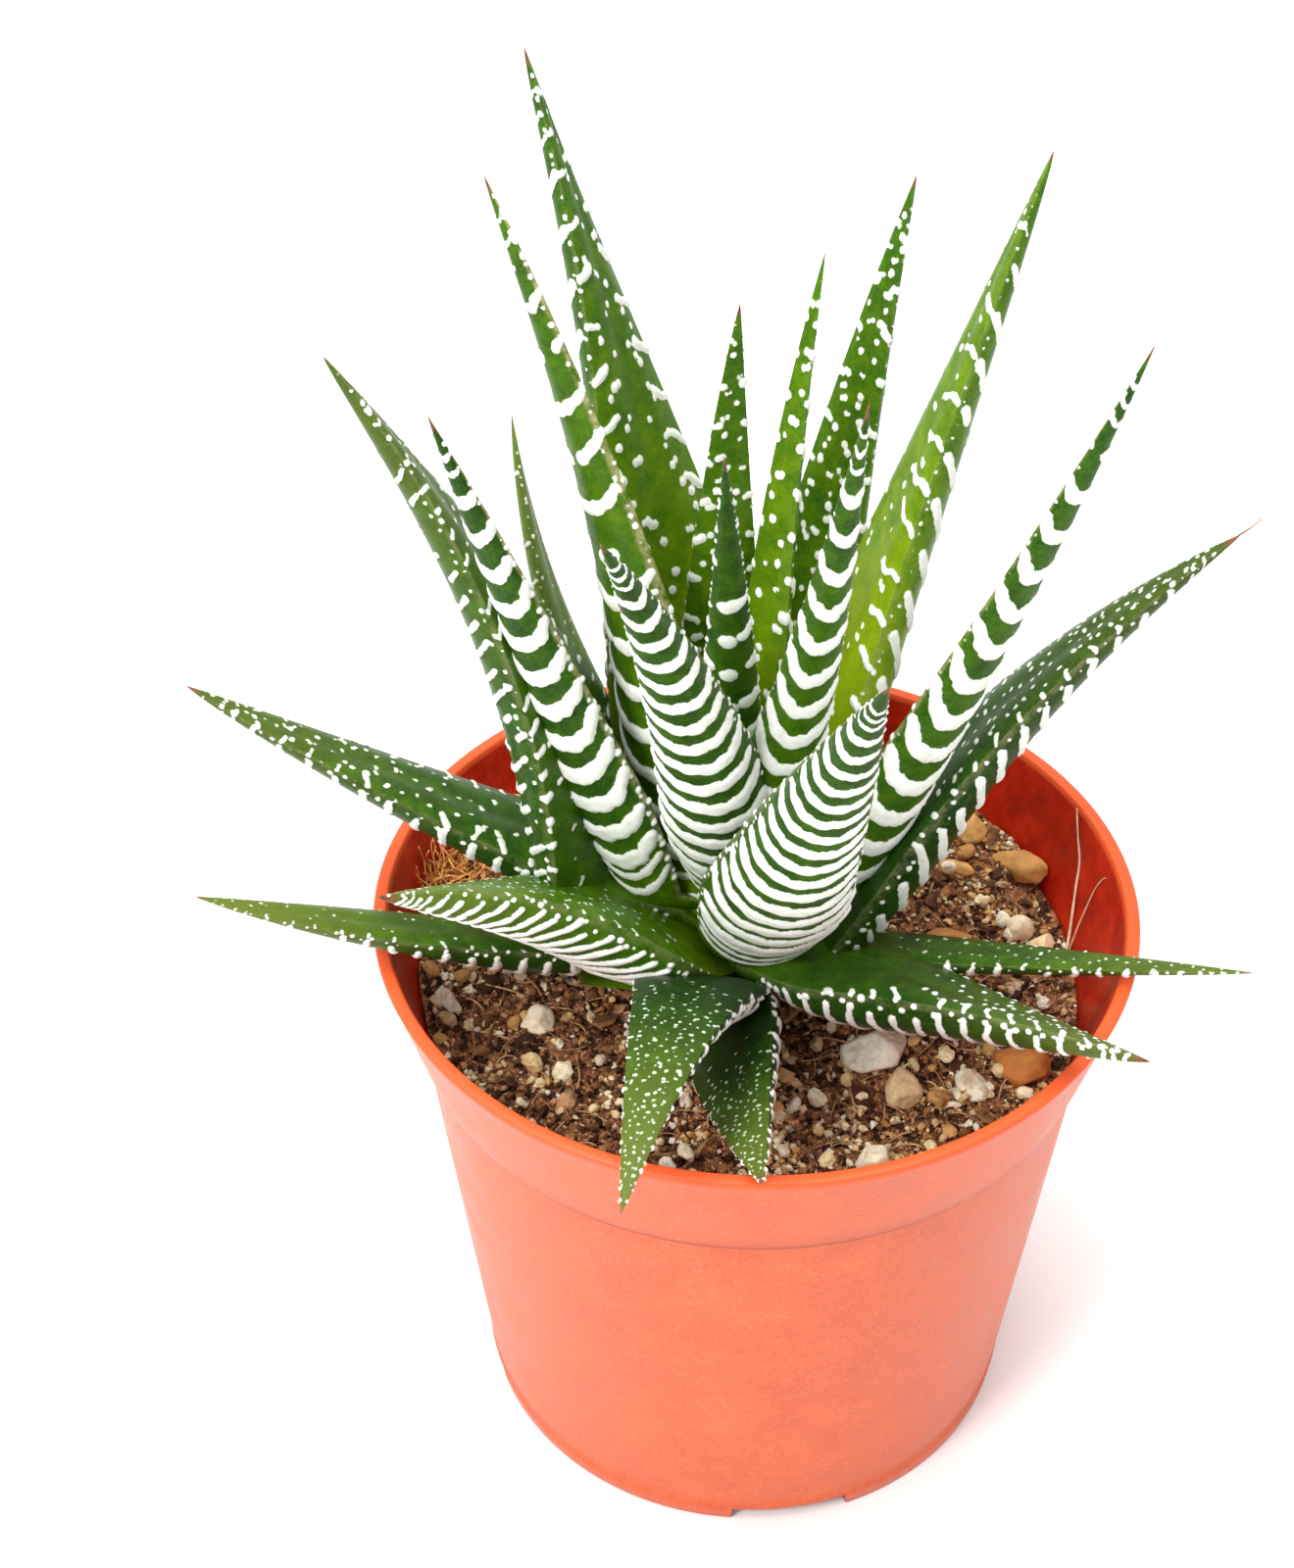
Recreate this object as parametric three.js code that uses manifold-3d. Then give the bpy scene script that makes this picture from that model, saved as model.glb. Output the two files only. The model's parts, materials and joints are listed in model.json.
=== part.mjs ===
// A potted haworthia: a rosette of pointed, white-banded leaves on a short stem, in potting mix, in a round
// plastic nursery pot.
//
// Units are millimetres and +Z is up. The origin lies on the surface that the pot stands on, under the middle
// of the whole plant's outline. The plant's front is its -Y side. Angles in the tables are in degrees.

import * as THREE from "three";
import { mergeVertices } from "three/addons/utils/BufferGeometryUtils.js";
import Module from "manifold-3d";

const wasm = await Module();
wasm.setup();

// ------------------------------------------------------------------ driving dimensions

const GAP = 0.3; // clearance that pieces keep where they touch
const SAME = 0.001; // points closer than this are one point
const CUT_THROUGH = 4; // a cutter's depth, in thicknesses of the wall that it goes right through

const POT_AXIS = new THREE.Vector2(5, -1); // the pot's axis, from the origin

const POT = {
  height: 75.3,
  rimRadius: 45,
  rimWidth: 1.6,
  wall: 1.2,
  lipHeight: 60, // the flared lip band starts here, above a fine step
  lipRadius: 40.9,
  lipStep: 0.4,
  footRadius: 34.2,
  floorUnderside: 2.5,
  floorThickness: 1.4,
  sides: 48,
};
const NOTCH = { count: 4, width: 14.5, height: 2, turn: 8 };
const DRAIN = { count: 4, radius: 3.5, circle: 19, turn: 45, sides: 16 };

const SOIL = {
  level: 62.4, // mean height of the top at the pot's axis
  slopeX: -0.045,
  slopeY: 0.075,
  heap: { x: 27, y: 21, height: 3, spread: 11 }, // pushed up at the back right
  dish: { depth: 3.4, spread: 13 }, // pressed down round the stem
  ripple: { height: 0.5, perX: 0.45, perY: 0.4, start: 1 }, // radians per mm, and where it starts
  topRings: 9,
};

const ROSETTE = new THREE.Vector2(-3, 2); // the stem's axis, from the pot's axis
const STEM = { foot: 55, shoulder: 67, top: 79, radius: 6.5, tipRadius: 3.2, crown: 1.5, sides: 20 };

// The largest stones of the mix: place from the pot's axis, half sizes, turn about Z.
const STONES = [
  { x: 34.5, y: 17, size: [4.3, 2.6, 2.4], turn: -25 },
  { x: 28, y: 23, size: [2.6, 2.9, 2.2], turn: 0 },
  { x: 24, y: 5.6, size: [3.2, 1.9, 1.6], turn: 5 },
  { x: 25.5, y: 16, size: [2.8, 1.5, 1.4], turn: -20 },
  { x: 33.2, y: 7.6, size: [1.8, 1.8, 1.8], turn: 0 },
  { x: 35.6, y: 5, size: [2, 1.9, 1.8], turn: 30 },
  { x: 14.2, y: -12.2, size: [4.6, 4, 2.6], turn: 35 },
  { x: 31, y: -14, size: [4.2, 3.4, 2.6], turn: 15 },
  { x: 16.5, y: -18, size: [2.6, 3, 2.2], turn: 10 },
  { x: 25, y: -16.4, size: [1.7, 3, 1.6], turn: 20 },
  { x: 12.8, y: -28, size: [2.4, 2.3, 2], turn: 0 },
  { x: -36.4, y: -6, size: [1.4, 2.4, 1.4], turn: 35 },
  { x: -26, y: -8, size: [2.2, 2.4, 1.6], turn: 0 },
  { x: -30, y: 27, size: [3, 2.6, 2.2], turn: 20 },
  { x: 6, y: 34, size: [3.2, 2.4, 2], turn: 60 },
];
const STONE_RAISED = 0.325; // how far a stone's middle lies above the mix, as a share of its half height

// Leaf section: a flat arch inside, a deep one outside.
const SECTION = {
  depth: 0.4, // thickness over width
  inside: 0.18, // shares of the thickness on the two sides of the leaf's centre line
  outside: 0.8,
  outerPoints: 5, // from margin to margin
};
const LEAF_SHAPE = {
  widest: 0.22, // share of the length where the leaf is widest
  baseWidth: 0.75,
  widthTaper: 0.9,
  deepest: 0.3,
  baseDepth: 0.7,
  depthTaper: 0.75,
};
// Where a leaf's root meets the stem: below its blade's start, but no lower than this height on the stem.
const ROOT = { drop: 5, lowest: 61.5, size: 0.7 }; // size is a share of the blade's first section
const BAND = {
  raise: 0.45, // how far a white band stands above the leaf's outer side
  fade: 0.5, // share of the raise that is lost towards the tip
  bow: 0.5, // how far its ends curl towards the tip, over half the leaf's width
  first: 0.08, // share of the leaf's length where the bands start
  last: 0.88,
};
const CUTTER_RINGS = 13; // a leaf's plain outer shape, as cut out of its neighbours

// The leaves, from the innermost to the outermost, as rows of:
//   facing   the direction that the leaf leans to
//   sweep    how far it turns from there, up to its tip
//   rise     its slope at base and tip
//   length, width
//   twist    its turn about its own line at base and tip
//   base     where its blade starts, from the pot's axis
//   pitch    the distance between its white bands
const LEAVES = [
  [266, -5, [81, 69], 76, 9, [-2, 6], [-3, 2.5, 74], 5.4],
  [104, 2, [81, 101], 77, 12, [0, -3], [-3.5, 4, 76], 5.4],
  [59, -1, [93, 69], 79, 9, [-31, -2], [-0.5, 1.5, 76], 5.4],
  [297, 1, [67, 80], 80, 9.5, [-24, -32], [-2.5, -1.5, 79.5], 5],
  [129, 4, [81, 62], 99, 20.5, [-40, 46], [-4.5, 7, 74], 6],
  [49, -3, [81, 69], 87, 15, [11, 1], [1, 7.5, 72], 5.6],
  [24, -1, [73, 68], 93, 19.5, [-8, -24], [-0.5, -2, 77.5], 5.8],
  [171, -2, [86, 67], 95, 16, [56, 30], [-6.5, 2.5, 73], 5.8],
  [247.5, -3, [71, 54.5], 80, 13.5, [13, 34], [-2, -2, 79], 4.2],
  [159, 5, [60, 84], 71, 12, [-9, 21], [-6.5, 7.5, 65.5], 5.4],
  [285.5, -5, [62, 56], 77, 16.5, [-17, -36], [-0.5, -6.5, 75], 3.8],
  [345.5, -2, [66, 71.5], 91.5, 9.5, [-69, -50], [4, -1.5, 70], 5.4],
  [190.5, 10.5, [72, 71], 72, 10.5, [50, 52], [-12, -1, 77.5], 4.9],
  [178, 3, [84, 55], 88, 22.5, [-42, 22], [-14.5, 1.5, 66], 5.6],
  [131, 2, [52, 47], 43, 13, [0, 0], [-10, 11, 66.5], 4.6],
  [8, -5, [68, 35], 72, 19.5, [-17, -9], [7.5, 0.5, 67.5], 5],
  [104, 0, [50, 40], 56, 15, [0, 0], [-4, 11, 67.5], 4.8],
  [64, -4, [40, 28], 52, 15, [0, 0], [0.5, 9.5, 67], 4.8],
  [177, 4, [23, 33], 63, 17, [15, 5], [-9, 3.5, 74], 4.6],
  [204, 16, [41, 22], 46, 23, [2, 40], [-8, -2.5, 72], 2.3],
  [258, 0, [56, -18], 58, 15, [2, 4], [-5, -6, 66], 4.2],
  [323, -6, [15, 13], 49, 18.5, [-14, -38], [3.5, -5, 71.5], 3.8],
  [340, -2, [11, 14], 57, 8.5, [-20, -5], [2.5, 0.5, 68.5], 4.6],
  [197, 2, [15, 30], 59, 12.5, [36, -9], [-10.5, 0.5, 68], 4.6],
  [271, 6, [20, 18], 43, 13.5, [55, 22], [-3.5, -8, 65.5], 4],
  [88, 0, [24, 13], 50, 14, [0, 0], [-2.5, 9.5, 66], 4.6],
].map(([facing, sweep, rise, length, width, twist, base, pitch]) => {
  return { facing, sweep, rise, length, width, twist, base, pitch };
});

const INNER_LEAVES = 8; // this many of the innermost are the lighter green of young leaves

// ------------------------------------------------------------------ materials

const MATERIALS = {
  pot: { color: 0xd9603a, roughness: 0.5 },
  soil: { color: 0x3a261b, roughness: 1 },
  stem: { color: 0x6d8a3c, roughness: 0.7 },
  innerLeaf: { color: 0x5f8f2c, roughness: 0.45 },
  outerLeaf: { color: 0x2f5a26, roughness: 0.45 },
};

function material(name) {
  return new THREE.MeshStandardMaterial({ ...MATERIALS[name], metalness: 0 });
}

// ------------------------------------------------------------------ solids

const { degToRad, lerp } = THREE.MathUtils;

function solidOf(geometry) {
  const bare = geometry.clone();
  for (const name of ["normal", "uv"]) bare.deleteAttribute(name);
  const merged = mergeVertices(bare, SAME);
  return new wasm.Manifold(
    new wasm.Mesh({
      numProp: 3,
      vertProperties: merged.attributes.position.array,
      triVerts: new Uint32Array(merged.index.array),
    }),
  );
}

function geometryOf(solid) {
  const { vertProperties, triVerts } = solid.getMesh();
  const geometry = new THREE.BufferGeometry();
  geometry.setAttribute("position", new THREE.BufferAttribute(vertProperties, 3));
  geometry.setIndex(new THREE.BufferAttribute(triVerts, 1));
  geometry.computeVertexNormals();
  return geometry;
}

function largestBody(solid) {
  return solid.decompose().reduce((a, b) => (b.volume() > a.volume() ? b : a));
}

// A solid of revolution about Z from [radius, height] points that start and end on the axis.
function turned(profile, sides) {
  const points = profile.map(([radius, height]) => new THREE.Vector2(radius, height));
  return new THREE.LatheGeometry(points, sides).rotateX(Math.PI / 2);
}

function addMesh(group, name, solid, materialName) {
  const mesh = new THREE.Mesh(geometryOf(solid), material(materialName));
  mesh.name = name;
  group.add(mesh);
}

// ------------------------------------------------------------------ pot

const floorTop = POT.floorUnderside + POT.floorThickness;

// The pot's inner radius at a height: a straight body, then the lip band that flares out to the rim.
function innerRadius(height) {
  const bodyTop = POT.lipRadius - POT.lipStep;
  if (height <= POT.lipHeight)
    return lerp(POT.footRadius, bodyTop, height / POT.lipHeight) - POT.wall;
  const share = (height - POT.lipHeight) / (POT.height - POT.lipHeight);
  return lerp(bodyTop - POT.wall, POT.rimRadius - POT.rimWidth, share);
}

function potSolid() {
  const bodyTop = POT.lipRadius - POT.lipStep;
  const profile = [
    [0, POT.floorUnderside],
    [innerRadius(0), POT.floorUnderside],
    [innerRadius(0), 0],
    [POT.footRadius, 0],
    [bodyTop, POT.lipHeight],
    [POT.lipRadius, POT.lipHeight + POT.lipStep],
    [POT.rimRadius, POT.height],
    [innerRadius(POT.height), POT.height],
    [innerRadius(POT.lipHeight), POT.lipHeight],
    [innerRadius(floorTop), floorTop],
    [0, floorTop],
  ];
  let pot = solidOf(turned(profile, POT.sides));
  for (let i = 0; i < NOTCH.count; i++) {
    const notch = new THREE.BoxGeometry(NOTCH.width, CUT_THROUGH * POT.wall, 2 * NOTCH.height);
    notch.translate(0, -(POT.footRadius - POT.wall / 2), 0);
    notch.rotateZ(degToRad(NOTCH.turn) + (i * 2 * Math.PI) / NOTCH.count);
    pot = pot.subtract(solidOf(notch));
  }
  for (let i = 0; i < DRAIN.count; i++) {
    const depth = CUT_THROUGH * POT.floorThickness;
    const hole = new THREE.CylinderGeometry(DRAIN.radius, DRAIN.radius, depth, DRAIN.sides);
    hole.rotateX(Math.PI / 2).translate(DRAIN.circle, 0, (POT.floorUnderside + floorTop) / 2);
    hole.rotateZ(degToRad(DRAIN.turn) + (i * 2 * Math.PI) / DRAIN.count);
    pot = pot.subtract(solidOf(hole));
  }
  return pot;
}

// ------------------------------------------------------------------ soil and stem

function bell(x, y, centre, spread) {
  return Math.exp(-((x - centre.x) ** 2 + (y - centre.y) ** 2) / spread ** 2);
}

function soilHeight(x, y) {
  return (
    SOIL.level +
    SOIL.slopeX * x +
    SOIL.slopeY * y +
    SOIL.heap.height * bell(x, y, SOIL.heap, SOIL.heap.spread) -
    SOIL.dish.depth * bell(x, y, ROSETTE, SOIL.dish.spread) +
    SOIL.ripple.height * Math.sin(SOIL.ripple.perX * x + SOIL.ripple.start) * Math.cos(SOIL.ripple.perY * y)
  );
}

// A wide plug of mix with an uneven top.
function soilPlug() {
  const rings = [];
  for (let i = 0; i <= SOIL.topRings; i++) rings.push([POT.rimRadius * (1 - i / SOIL.topRings), SOIL.level]);
  const geometry = turned([[0, 0], [POT.rimRadius, 0], ...rings], POT.sides);
  const position = geometry.attributes.position;
  for (let i = 0; i < position.count; i++) {
    const isTop = position.getZ(i) > SOIL.level - SAME;
    if (isTop) position.setZ(i, soilHeight(position.getX(i), position.getY(i)));
  }
  return solidOf(geometry);
}

// The room that the mix fills: the pot's inside, less the gap.
function soilRoom() {
  const bottom = floorTop + GAP;
  const wall = [bottom, POT.lipHeight, POT.height].map((z) => [innerRadius(z) - GAP, z]);
  return solidOf(turned([[0, bottom], ...wall, [0, POT.height]], POT.sides));
}

function stoneSolid({ x, y, size, turn }) {
  const stone = new THREE.IcosahedronGeometry(1, 0).scale(...size).rotateZ(degToRad(turn));
  return solidOf(stone.translate(x, y, soilHeight(x, y) + STONE_RAISED * size[2]));
}

function stemSolid(grow) {
  const profile = [
    [0, STEM.foot - grow],
    [STEM.radius + grow, STEM.foot - grow],
    [STEM.radius + grow, STEM.shoulder + grow],
    [STEM.tipRadius + grow, STEM.top - STEM.crown + grow],
    [0, STEM.top + grow],
  ];
  return solidOf(turned(profile, STEM.sides).translate(ROSETTE.x, ROSETTE.y, 0));
}

function soilSolid() {
  let soil = soilPlug();
  for (const stone of STONES) soil = soil.add(stoneSolid(stone));
  return soil.intersect(soilRoom()).subtract(stemSolid(GAP));
}

// ------------------------------------------------------------------ leaves

const SPINE_STEPS = 60;

// The leaf's own directions at a share t of its length: along it, across it, and out of its inner side.
function leafFrame(leaf, t) {
  const facing = degToRad(leaf.facing + leaf.sweep * t ** 1.5);
  const rise = degToRad(lerp(...leaf.rise, t));
  const twist = degToRad(lerp(...leaf.twist, t));
  const along = new THREE.Vector3(
    Math.cos(rise) * Math.cos(facing),
    Math.cos(rise) * Math.sin(facing),
    Math.sin(rise),
  );
  const level = new THREE.Vector3(-Math.sin(facing), Math.cos(facing), 0);
  const inward = new THREE.Vector3().crossVectors(along, level);
  const across = level.clone().multiplyScalar(Math.cos(twist)).addScaledVector(inward, Math.sin(twist));
  inward.multiplyScalar(Math.cos(twist)).addScaledVector(level, -Math.sin(twist));
  return { along, across, inward };
}

// The centre line of the leaf's blade as points at equal steps.
function leafSpine(leaf) {
  const spine = [new THREE.Vector3(...leaf.base)];
  for (let i = 0; i < SPINE_STEPS; i++) {
    const { along } = leafFrame(leaf, (i + 0.5) / SPINE_STEPS);
    spine.push(spine[i].clone().addScaledVector(along, leaf.length / SPINE_STEPS));
  }
  return spine;
}

function spinePoint(spine, t) {
  const place = t * SPINE_STEPS;
  const i = Math.min(Math.floor(place), SPINE_STEPS - 1);
  return spine[i].clone().lerp(spine[i + 1], place - i);
}

// How wide or deep the leaf is at t, as a share of its greatest: it swells from its base, then tapers.
function swell(t, peak, base, taper) {
  if (t < peak) return base + (1 - base) * Math.sin((t / peak) * (Math.PI / 2));
  return ((1 - t) / (1 - peak)) ** taper;
}

// The points round the section, as [across, depth] shares: the outer side from margin to margin, then the
// middle of the inner side.
function sectionPoints() {
  const points = [];
  for (let i = 0; i < SECTION.outerPoints; i++) {
    const angle = (i / (SECTION.outerPoints - 1)) * Math.PI;
    points.push([Math.cos(angle), -Math.sin(angle) * SECTION.outside]);
  }
  points.push([0, SECTION.inside]);
  return points;
}

// A point on the leaf's skin: at a share t of its length, at a place of its section, lifted off the skin.
function skinPoint(leaf, spine, t, [across, depth], lift) {
  const { widest, baseWidth, widthTaper, deepest, baseDepth, depthTaper } = LEAF_SHAPE;
  const frame = leafFrame(leaf, t);
  const halfWidth = (leaf.width / 2) * swell(t, widest, baseWidth, widthTaper);
  const thickness = leaf.width * SECTION.depth * swell(t, deepest, baseDepth, depthTaper);
  const outward = new THREE.Vector2(across, depth).normalize().multiplyScalar(lift);
  return spinePoint(spine, t)
    .addScaledVector(frame.across, halfWidth * across + outward.x)
    .addScaledVector(frame.inward, thickness * depth + outward.y);
}

// A leaf as rings round its centre line. Each band is a raised ring between two flat ones, bowed so that its
// ends run towards the tip.
function leafSolid(leaf) {
  const spine = leafSpine(leaf);
  const section = sectionPoints();
  const ring = (t, raise) => {
    const halfWidth = (leaf.width / 2) * swell(t, LEAF_SHAPE.widest, LEAF_SHAPE.baseWidth, 1);
    return section.map((place) => {
      const outside = place[1] <= 0;
      const bow = outside ? place[0] ** 2 : 1;
      const shift = t > 0 ? (BAND.bow * halfWidth * bow) / leaf.length : 0;
      return skinPoint(leaf, spine, t + shift, place, outside ? raise : 0);
    });
  };
  const rings = [rootRing(leaf, ring(0, 0)), ring(0, 0)];
  const bands = Math.round(((BAND.last - BAND.first) * leaf.length) / leaf.pitch);
  for (let i = 0; i <= 2 * bands; i++) {
    const t = lerp(BAND.first, BAND.last, i / (2 * bands));
    rings.push(ring(t, i % 2 ? BAND.raise * (1 - BAND.fade * t) : 0));
  }
  return solidOf(loft(rings, spinePoint(spine, 1)));
}

// The leaf's outer shape without bands, thickened all round, for cutting its neighbours clear of it.
function leafCutter(leaf, grow) {
  const spine = leafSpine(leaf);
  const section = sectionPoints();
  const ring = (t) => section.map((place) => skinPoint(leaf, spine, t, place, grow));
  const rings = [rootRing(leaf, ring(0))];
  for (let i = 0; i < CUTTER_RINGS; i++) rings.push(ring(i / CUTTER_RINGS));
  const end = spinePoint(spine, 1).addScaledVector(leafFrame(leaf, 1).along, 2 * grow);
  return solidOf(loft(rings, end));
}

// The leaf's root on the stem: its first ring, made smaller and moved to the stem below it.
function rootRing(leaf, baseRing) {
  const root = new THREE.Vector3(ROSETTE.x, ROSETTE.y, Math.max(leaf.base[2] - ROOT.drop, ROOT.lowest));
  const base = new THREE.Vector3(...leaf.base);
  return baseRing.map((p) => p.clone().sub(base).multiplyScalar(ROOT.size).add(root));
}

// A closed skin over rings of equal size, with a flat first ring and a point at the end.
function loft(rings, tip) {
  const size = rings[0].length;
  const centre = rings[0].reduce((sum, p) => sum.add(p), new THREE.Vector3()).divideScalar(size);
  const points = [...rings.flat(), centre, tip];
  const [centreIndex, tipIndex] = [points.length - 2, points.length - 1];
  const faces = [];
  for (let j = 0; j < size; j++) {
    const next = (j + 1) % size;
    faces.push(centreIndex, j, next);
    for (let i = 0; i + 1 < rings.length; i++) {
      const [a, b] = [i * size + j, i * size + next];
      faces.push(a, a + size, b, b, a + size, b + size);
    }
    const last = (rings.length - 1) * size;
    faces.push(last + j, tipIndex, last + next);
  }
  const geometry = new THREE.BufferGeometry().setFromPoints(points);
  geometry.setIndex(faces);
  return geometry;
}

// ------------------------------------------------------------------ assembly

const plant = new THREE.Group();
plant.position.set(POT_AXIS.x, POT_AXIS.y, 0);

const soil = soilSolid();
addMesh(plant, "pot", potSolid(), "pot");
addMesh(plant, "soil", soil, "soil");
addMesh(plant, "stem", stemSolid(0), "stem");

// Each leaf is cut clear of the stem and of the leaves inside it, so an outer leaf clasps the inner ones.
const taken = [stemSolid(GAP)];
LEAVES.forEach((leaf, index) => {
  let solid = leafSolid(leaf);
  for (const cutter of taken) solid = solid.subtract(cutter);
  solid = largestBody(solid.subtract(soil.translate(0, 0, GAP)));
  const name = `leaf_${String(index + 1).padStart(2, "0")}`;
  addMesh(plant, name, solid, index < INNER_LEAVES ? "innerLeaf" : "outerLeaf");
  taken.push(leafCutter(leaf, BAND.raise + GAP));
});

const pottedHaworthia = new THREE.Group();
pottedHaworthia.add(plant);

export default pottedHaworthia;
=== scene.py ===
# A potted haworthia: the finished surfaces of its leaves, stem, potting mix and nursery pot.
#
# Sizes are millimetres, measured from the pot's axis on the surface that the pot stands on. add_mesh() puts
# them into the frame, in metres. Angles in the tables are in degrees.

import json
import math
from collections import namedtuple

import bmesh
import bpy
import numpy as np
from mathutils import Matrix, Vector, noise


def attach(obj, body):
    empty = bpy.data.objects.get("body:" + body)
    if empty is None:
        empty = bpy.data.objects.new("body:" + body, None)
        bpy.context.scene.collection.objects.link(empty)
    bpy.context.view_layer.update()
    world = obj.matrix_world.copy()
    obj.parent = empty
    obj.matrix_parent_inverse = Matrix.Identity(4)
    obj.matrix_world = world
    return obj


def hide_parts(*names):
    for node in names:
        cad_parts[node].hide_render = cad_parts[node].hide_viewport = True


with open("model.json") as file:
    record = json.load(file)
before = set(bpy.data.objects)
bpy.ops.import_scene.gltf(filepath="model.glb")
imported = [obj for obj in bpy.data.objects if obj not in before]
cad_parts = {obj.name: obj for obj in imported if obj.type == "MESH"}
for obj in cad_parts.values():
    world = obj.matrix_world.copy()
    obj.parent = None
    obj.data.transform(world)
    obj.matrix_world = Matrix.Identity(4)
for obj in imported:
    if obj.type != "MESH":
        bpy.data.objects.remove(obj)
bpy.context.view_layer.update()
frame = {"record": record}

MM = 0.001
BODY = "root"
POT_AXIS = np.array([5.0, -1.0, 0.0])  # the pot's axis in the frame

# ---------------------------------------------------------------- driving dimensions

POT = dict(
    height=75.3, rim_radius=45.0, rim_width=1.6, rim_rounding=(0.45, 0.35), wall=1.2,
    lip_height=60.0, lip_radius=40.9, lip_step=0.4, foot_radius=34.2, foot_band=2.8,
    # The next line also gives the width of the painted shade line just under the lip's step.
    floor_underside=2.5, floor_thickness=1.4, painted_lip_shade=0.45, segments=288,
    inner_rings=(74.4, 73, 70, 66, 62, 60, 55, 45, 30, 15),  # heights of the inner wall's rings of points
)
WOBBLE = (0.1, 0.05)  # how far the upper wall is out of round, in two and in five waves
NOTCH = dict(count=4, width=14.5, height=2.0, turn=8.0)
DRAIN = dict(count=4, radius=3.5, circle=19.0, turn=45.0, segments=48)

SOIL = dict(
    level=62.4, slope_x=-0.045, slope_y=0.075, dish=3.4, dish_spread=13.0, ripple=0.5,
    heap=(27.0, 21.0), heap_height=3.0, heap_spread=11.0,
    gap=0.3, top_gap=0.2,  # to the pot's wall and floor, and to the wall at the mix's top
    rings=110, segments=480,
)
ROSETTE = (-3.0, 2.0)  # the stem's axis
STEM = dict(foot=55.0, shoulder=67.0, top=79.0, crown=1.5, radius=6.5, tip_radius=3.2, segments=96)

# The largest stones of the mix: place, half sizes, turn about Z, and tint from ochre (0) to cream (1).
STONES = [
    (34.5, 17, (4.3, 2.6, 2.4), -25, 0.2),
    (28, 23, (2.6, 2.9, 2.2), 0, 0.25),
    (24, 5.6, (3.2, 1.9, 1.6), 5, 0.1),
    (25.5, 16, (2.8, 1.5, 1.4), -20, 0.3),
    (33.2, 7.6, (1.8, 1.8, 1.8), 0, 0.8),
    (35.6, 5, (2, 1.9, 1.8), 30, 0.7),
    (14.2, -12.2, (4.6, 4, 2.6), 35, 0.95),
    (31, -14, (4.2, 3.4, 2.6), 15, 0),
    (16.5, -18, (2.6, 3, 2.2), 10, 0.6),
    (25, -16.4, (1.7, 3, 1.6), 20, 0.9),
    (12.8, -28, (2.4, 2.3, 2), 0, 0.85),
    (-36.4, -6, (1.4, 2.4, 1.4), 35, 1),
    (-26, -8, (2.2, 2.4, 1.6), 0, 0.85),
    (-30, 27, (3, 2.6, 2.2), 20, 0.6),
    (6, 34, (3.2, 2.4, 2), 60, 0.5),
]

# The leaves' forms, from the innermost to the outermost: the direction that a leaf leans to, how far it
# turns from there up to its tip, its slope at base and tip, length, width, its turn about its own line at
# base and tip, where its blade starts, and the distance between its white bands.
Leaf = namedtuple("Leaf", "facing sweep rise length width twist base pitch")
LEAVES = [
    Leaf(266, -5, (81, 69), 76, 9, (-2, 6), (-3, 2.5, 74), 5.4),
    Leaf(104, 2, (81, 101), 77, 12, (0, -3), (-3.5, 4, 76), 5.4),
    Leaf(59, -1, (93, 69), 79, 9, (-31, -2), (-0.5, 1.5, 76), 5.4),
    Leaf(297, 1, (67, 80), 80, 9.5, (-24, -32), (-2.5, -1.5, 79.5), 5),
    Leaf(129, 4, (81, 62), 99, 20.5, (-40, 46), (-4.5, 7, 74), 6),
    Leaf(49, -3, (81, 69), 87, 15, (11, 1), (1, 7.5, 72), 5.6),
    Leaf(24, -1, (73, 68), 93, 19.5, (-8, -24), (-0.5, -2, 77.5), 5.8),
    Leaf(171, -2, (86, 67), 95, 16, (56, 30), (-6.5, 2.5, 73), 5.8),
    Leaf(247.5, -3, (71, 54.5), 80, 13.5, (13, 34), (-2, -2, 79), 4.2),
    Leaf(159, 5, (60, 84), 71, 12, (-9, 21), (-6.5, 7.5, 65.5), 5.4),
    Leaf(285.5, -5, (62, 56), 77, 16.5, (-17, -36), (-0.5, -6.5, 75), 3.8),
    Leaf(345.5, -2, (66, 71.5), 91.5, 9.5, (-69, -50), (4, -1.5, 70), 5.4),
    Leaf(190.5, 10.5, (72, 71), 72, 10.5, (50, 52), (-12, -1, 77.5), 4.9),
    Leaf(178, 3, (84, 55), 88, 22.5, (-42, 22), (-14.5, 1.5, 66), 3.3),
    Leaf(131, 2, (52, 47), 43, 13, (0, 0), (-10, 11, 66.5), 4.6),
    Leaf(8, -5, (68, 35), 72, 19.5, (-17, -9), (7.5, 0.5, 67.5), 4.2),
    Leaf(104, 0, (50, 40), 56, 15, (0, 0), (-4, 11, 67.5), 4.8),
    Leaf(64, -4, (40, 28), 52, 15, (0, 0), (0.5, 9.5, 67), 4.8),
    Leaf(177, 4, (23, 33), 63, 17, (15, 5), (-9, 3.5, 74), 3.6),
    Leaf(204, 16, (41, 22), 46, 23, (2, 40), (-8, -2.5, 72), 1.9),
    Leaf(258, 0, (56, -18), 58, 15, (2, 4), (-5, -6, 66), 4.2),
    Leaf(323, -6, (15, 13), 49, 18.5, (-14, -38), (3.5, -5, 71.5), 2.9),
    Leaf(340, -2, (11, 14), 57, 8.5, (-20, -5), (2.5, 0.5, 68.5), 3),
    Leaf(197, 2, (15, 30), 59, 12.5, (36, -9), (-10.5, 0.5, 68), 3.1),
    Leaf(271, 6, (20, 18), 43, 13.5, (55, 22), (-3.5, -8, 65.5), 4),
    Leaf(88, 0, (24, 13), 50, 14, (0, 0), (-2.5, 9.5, 66), 4.6),
]

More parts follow.
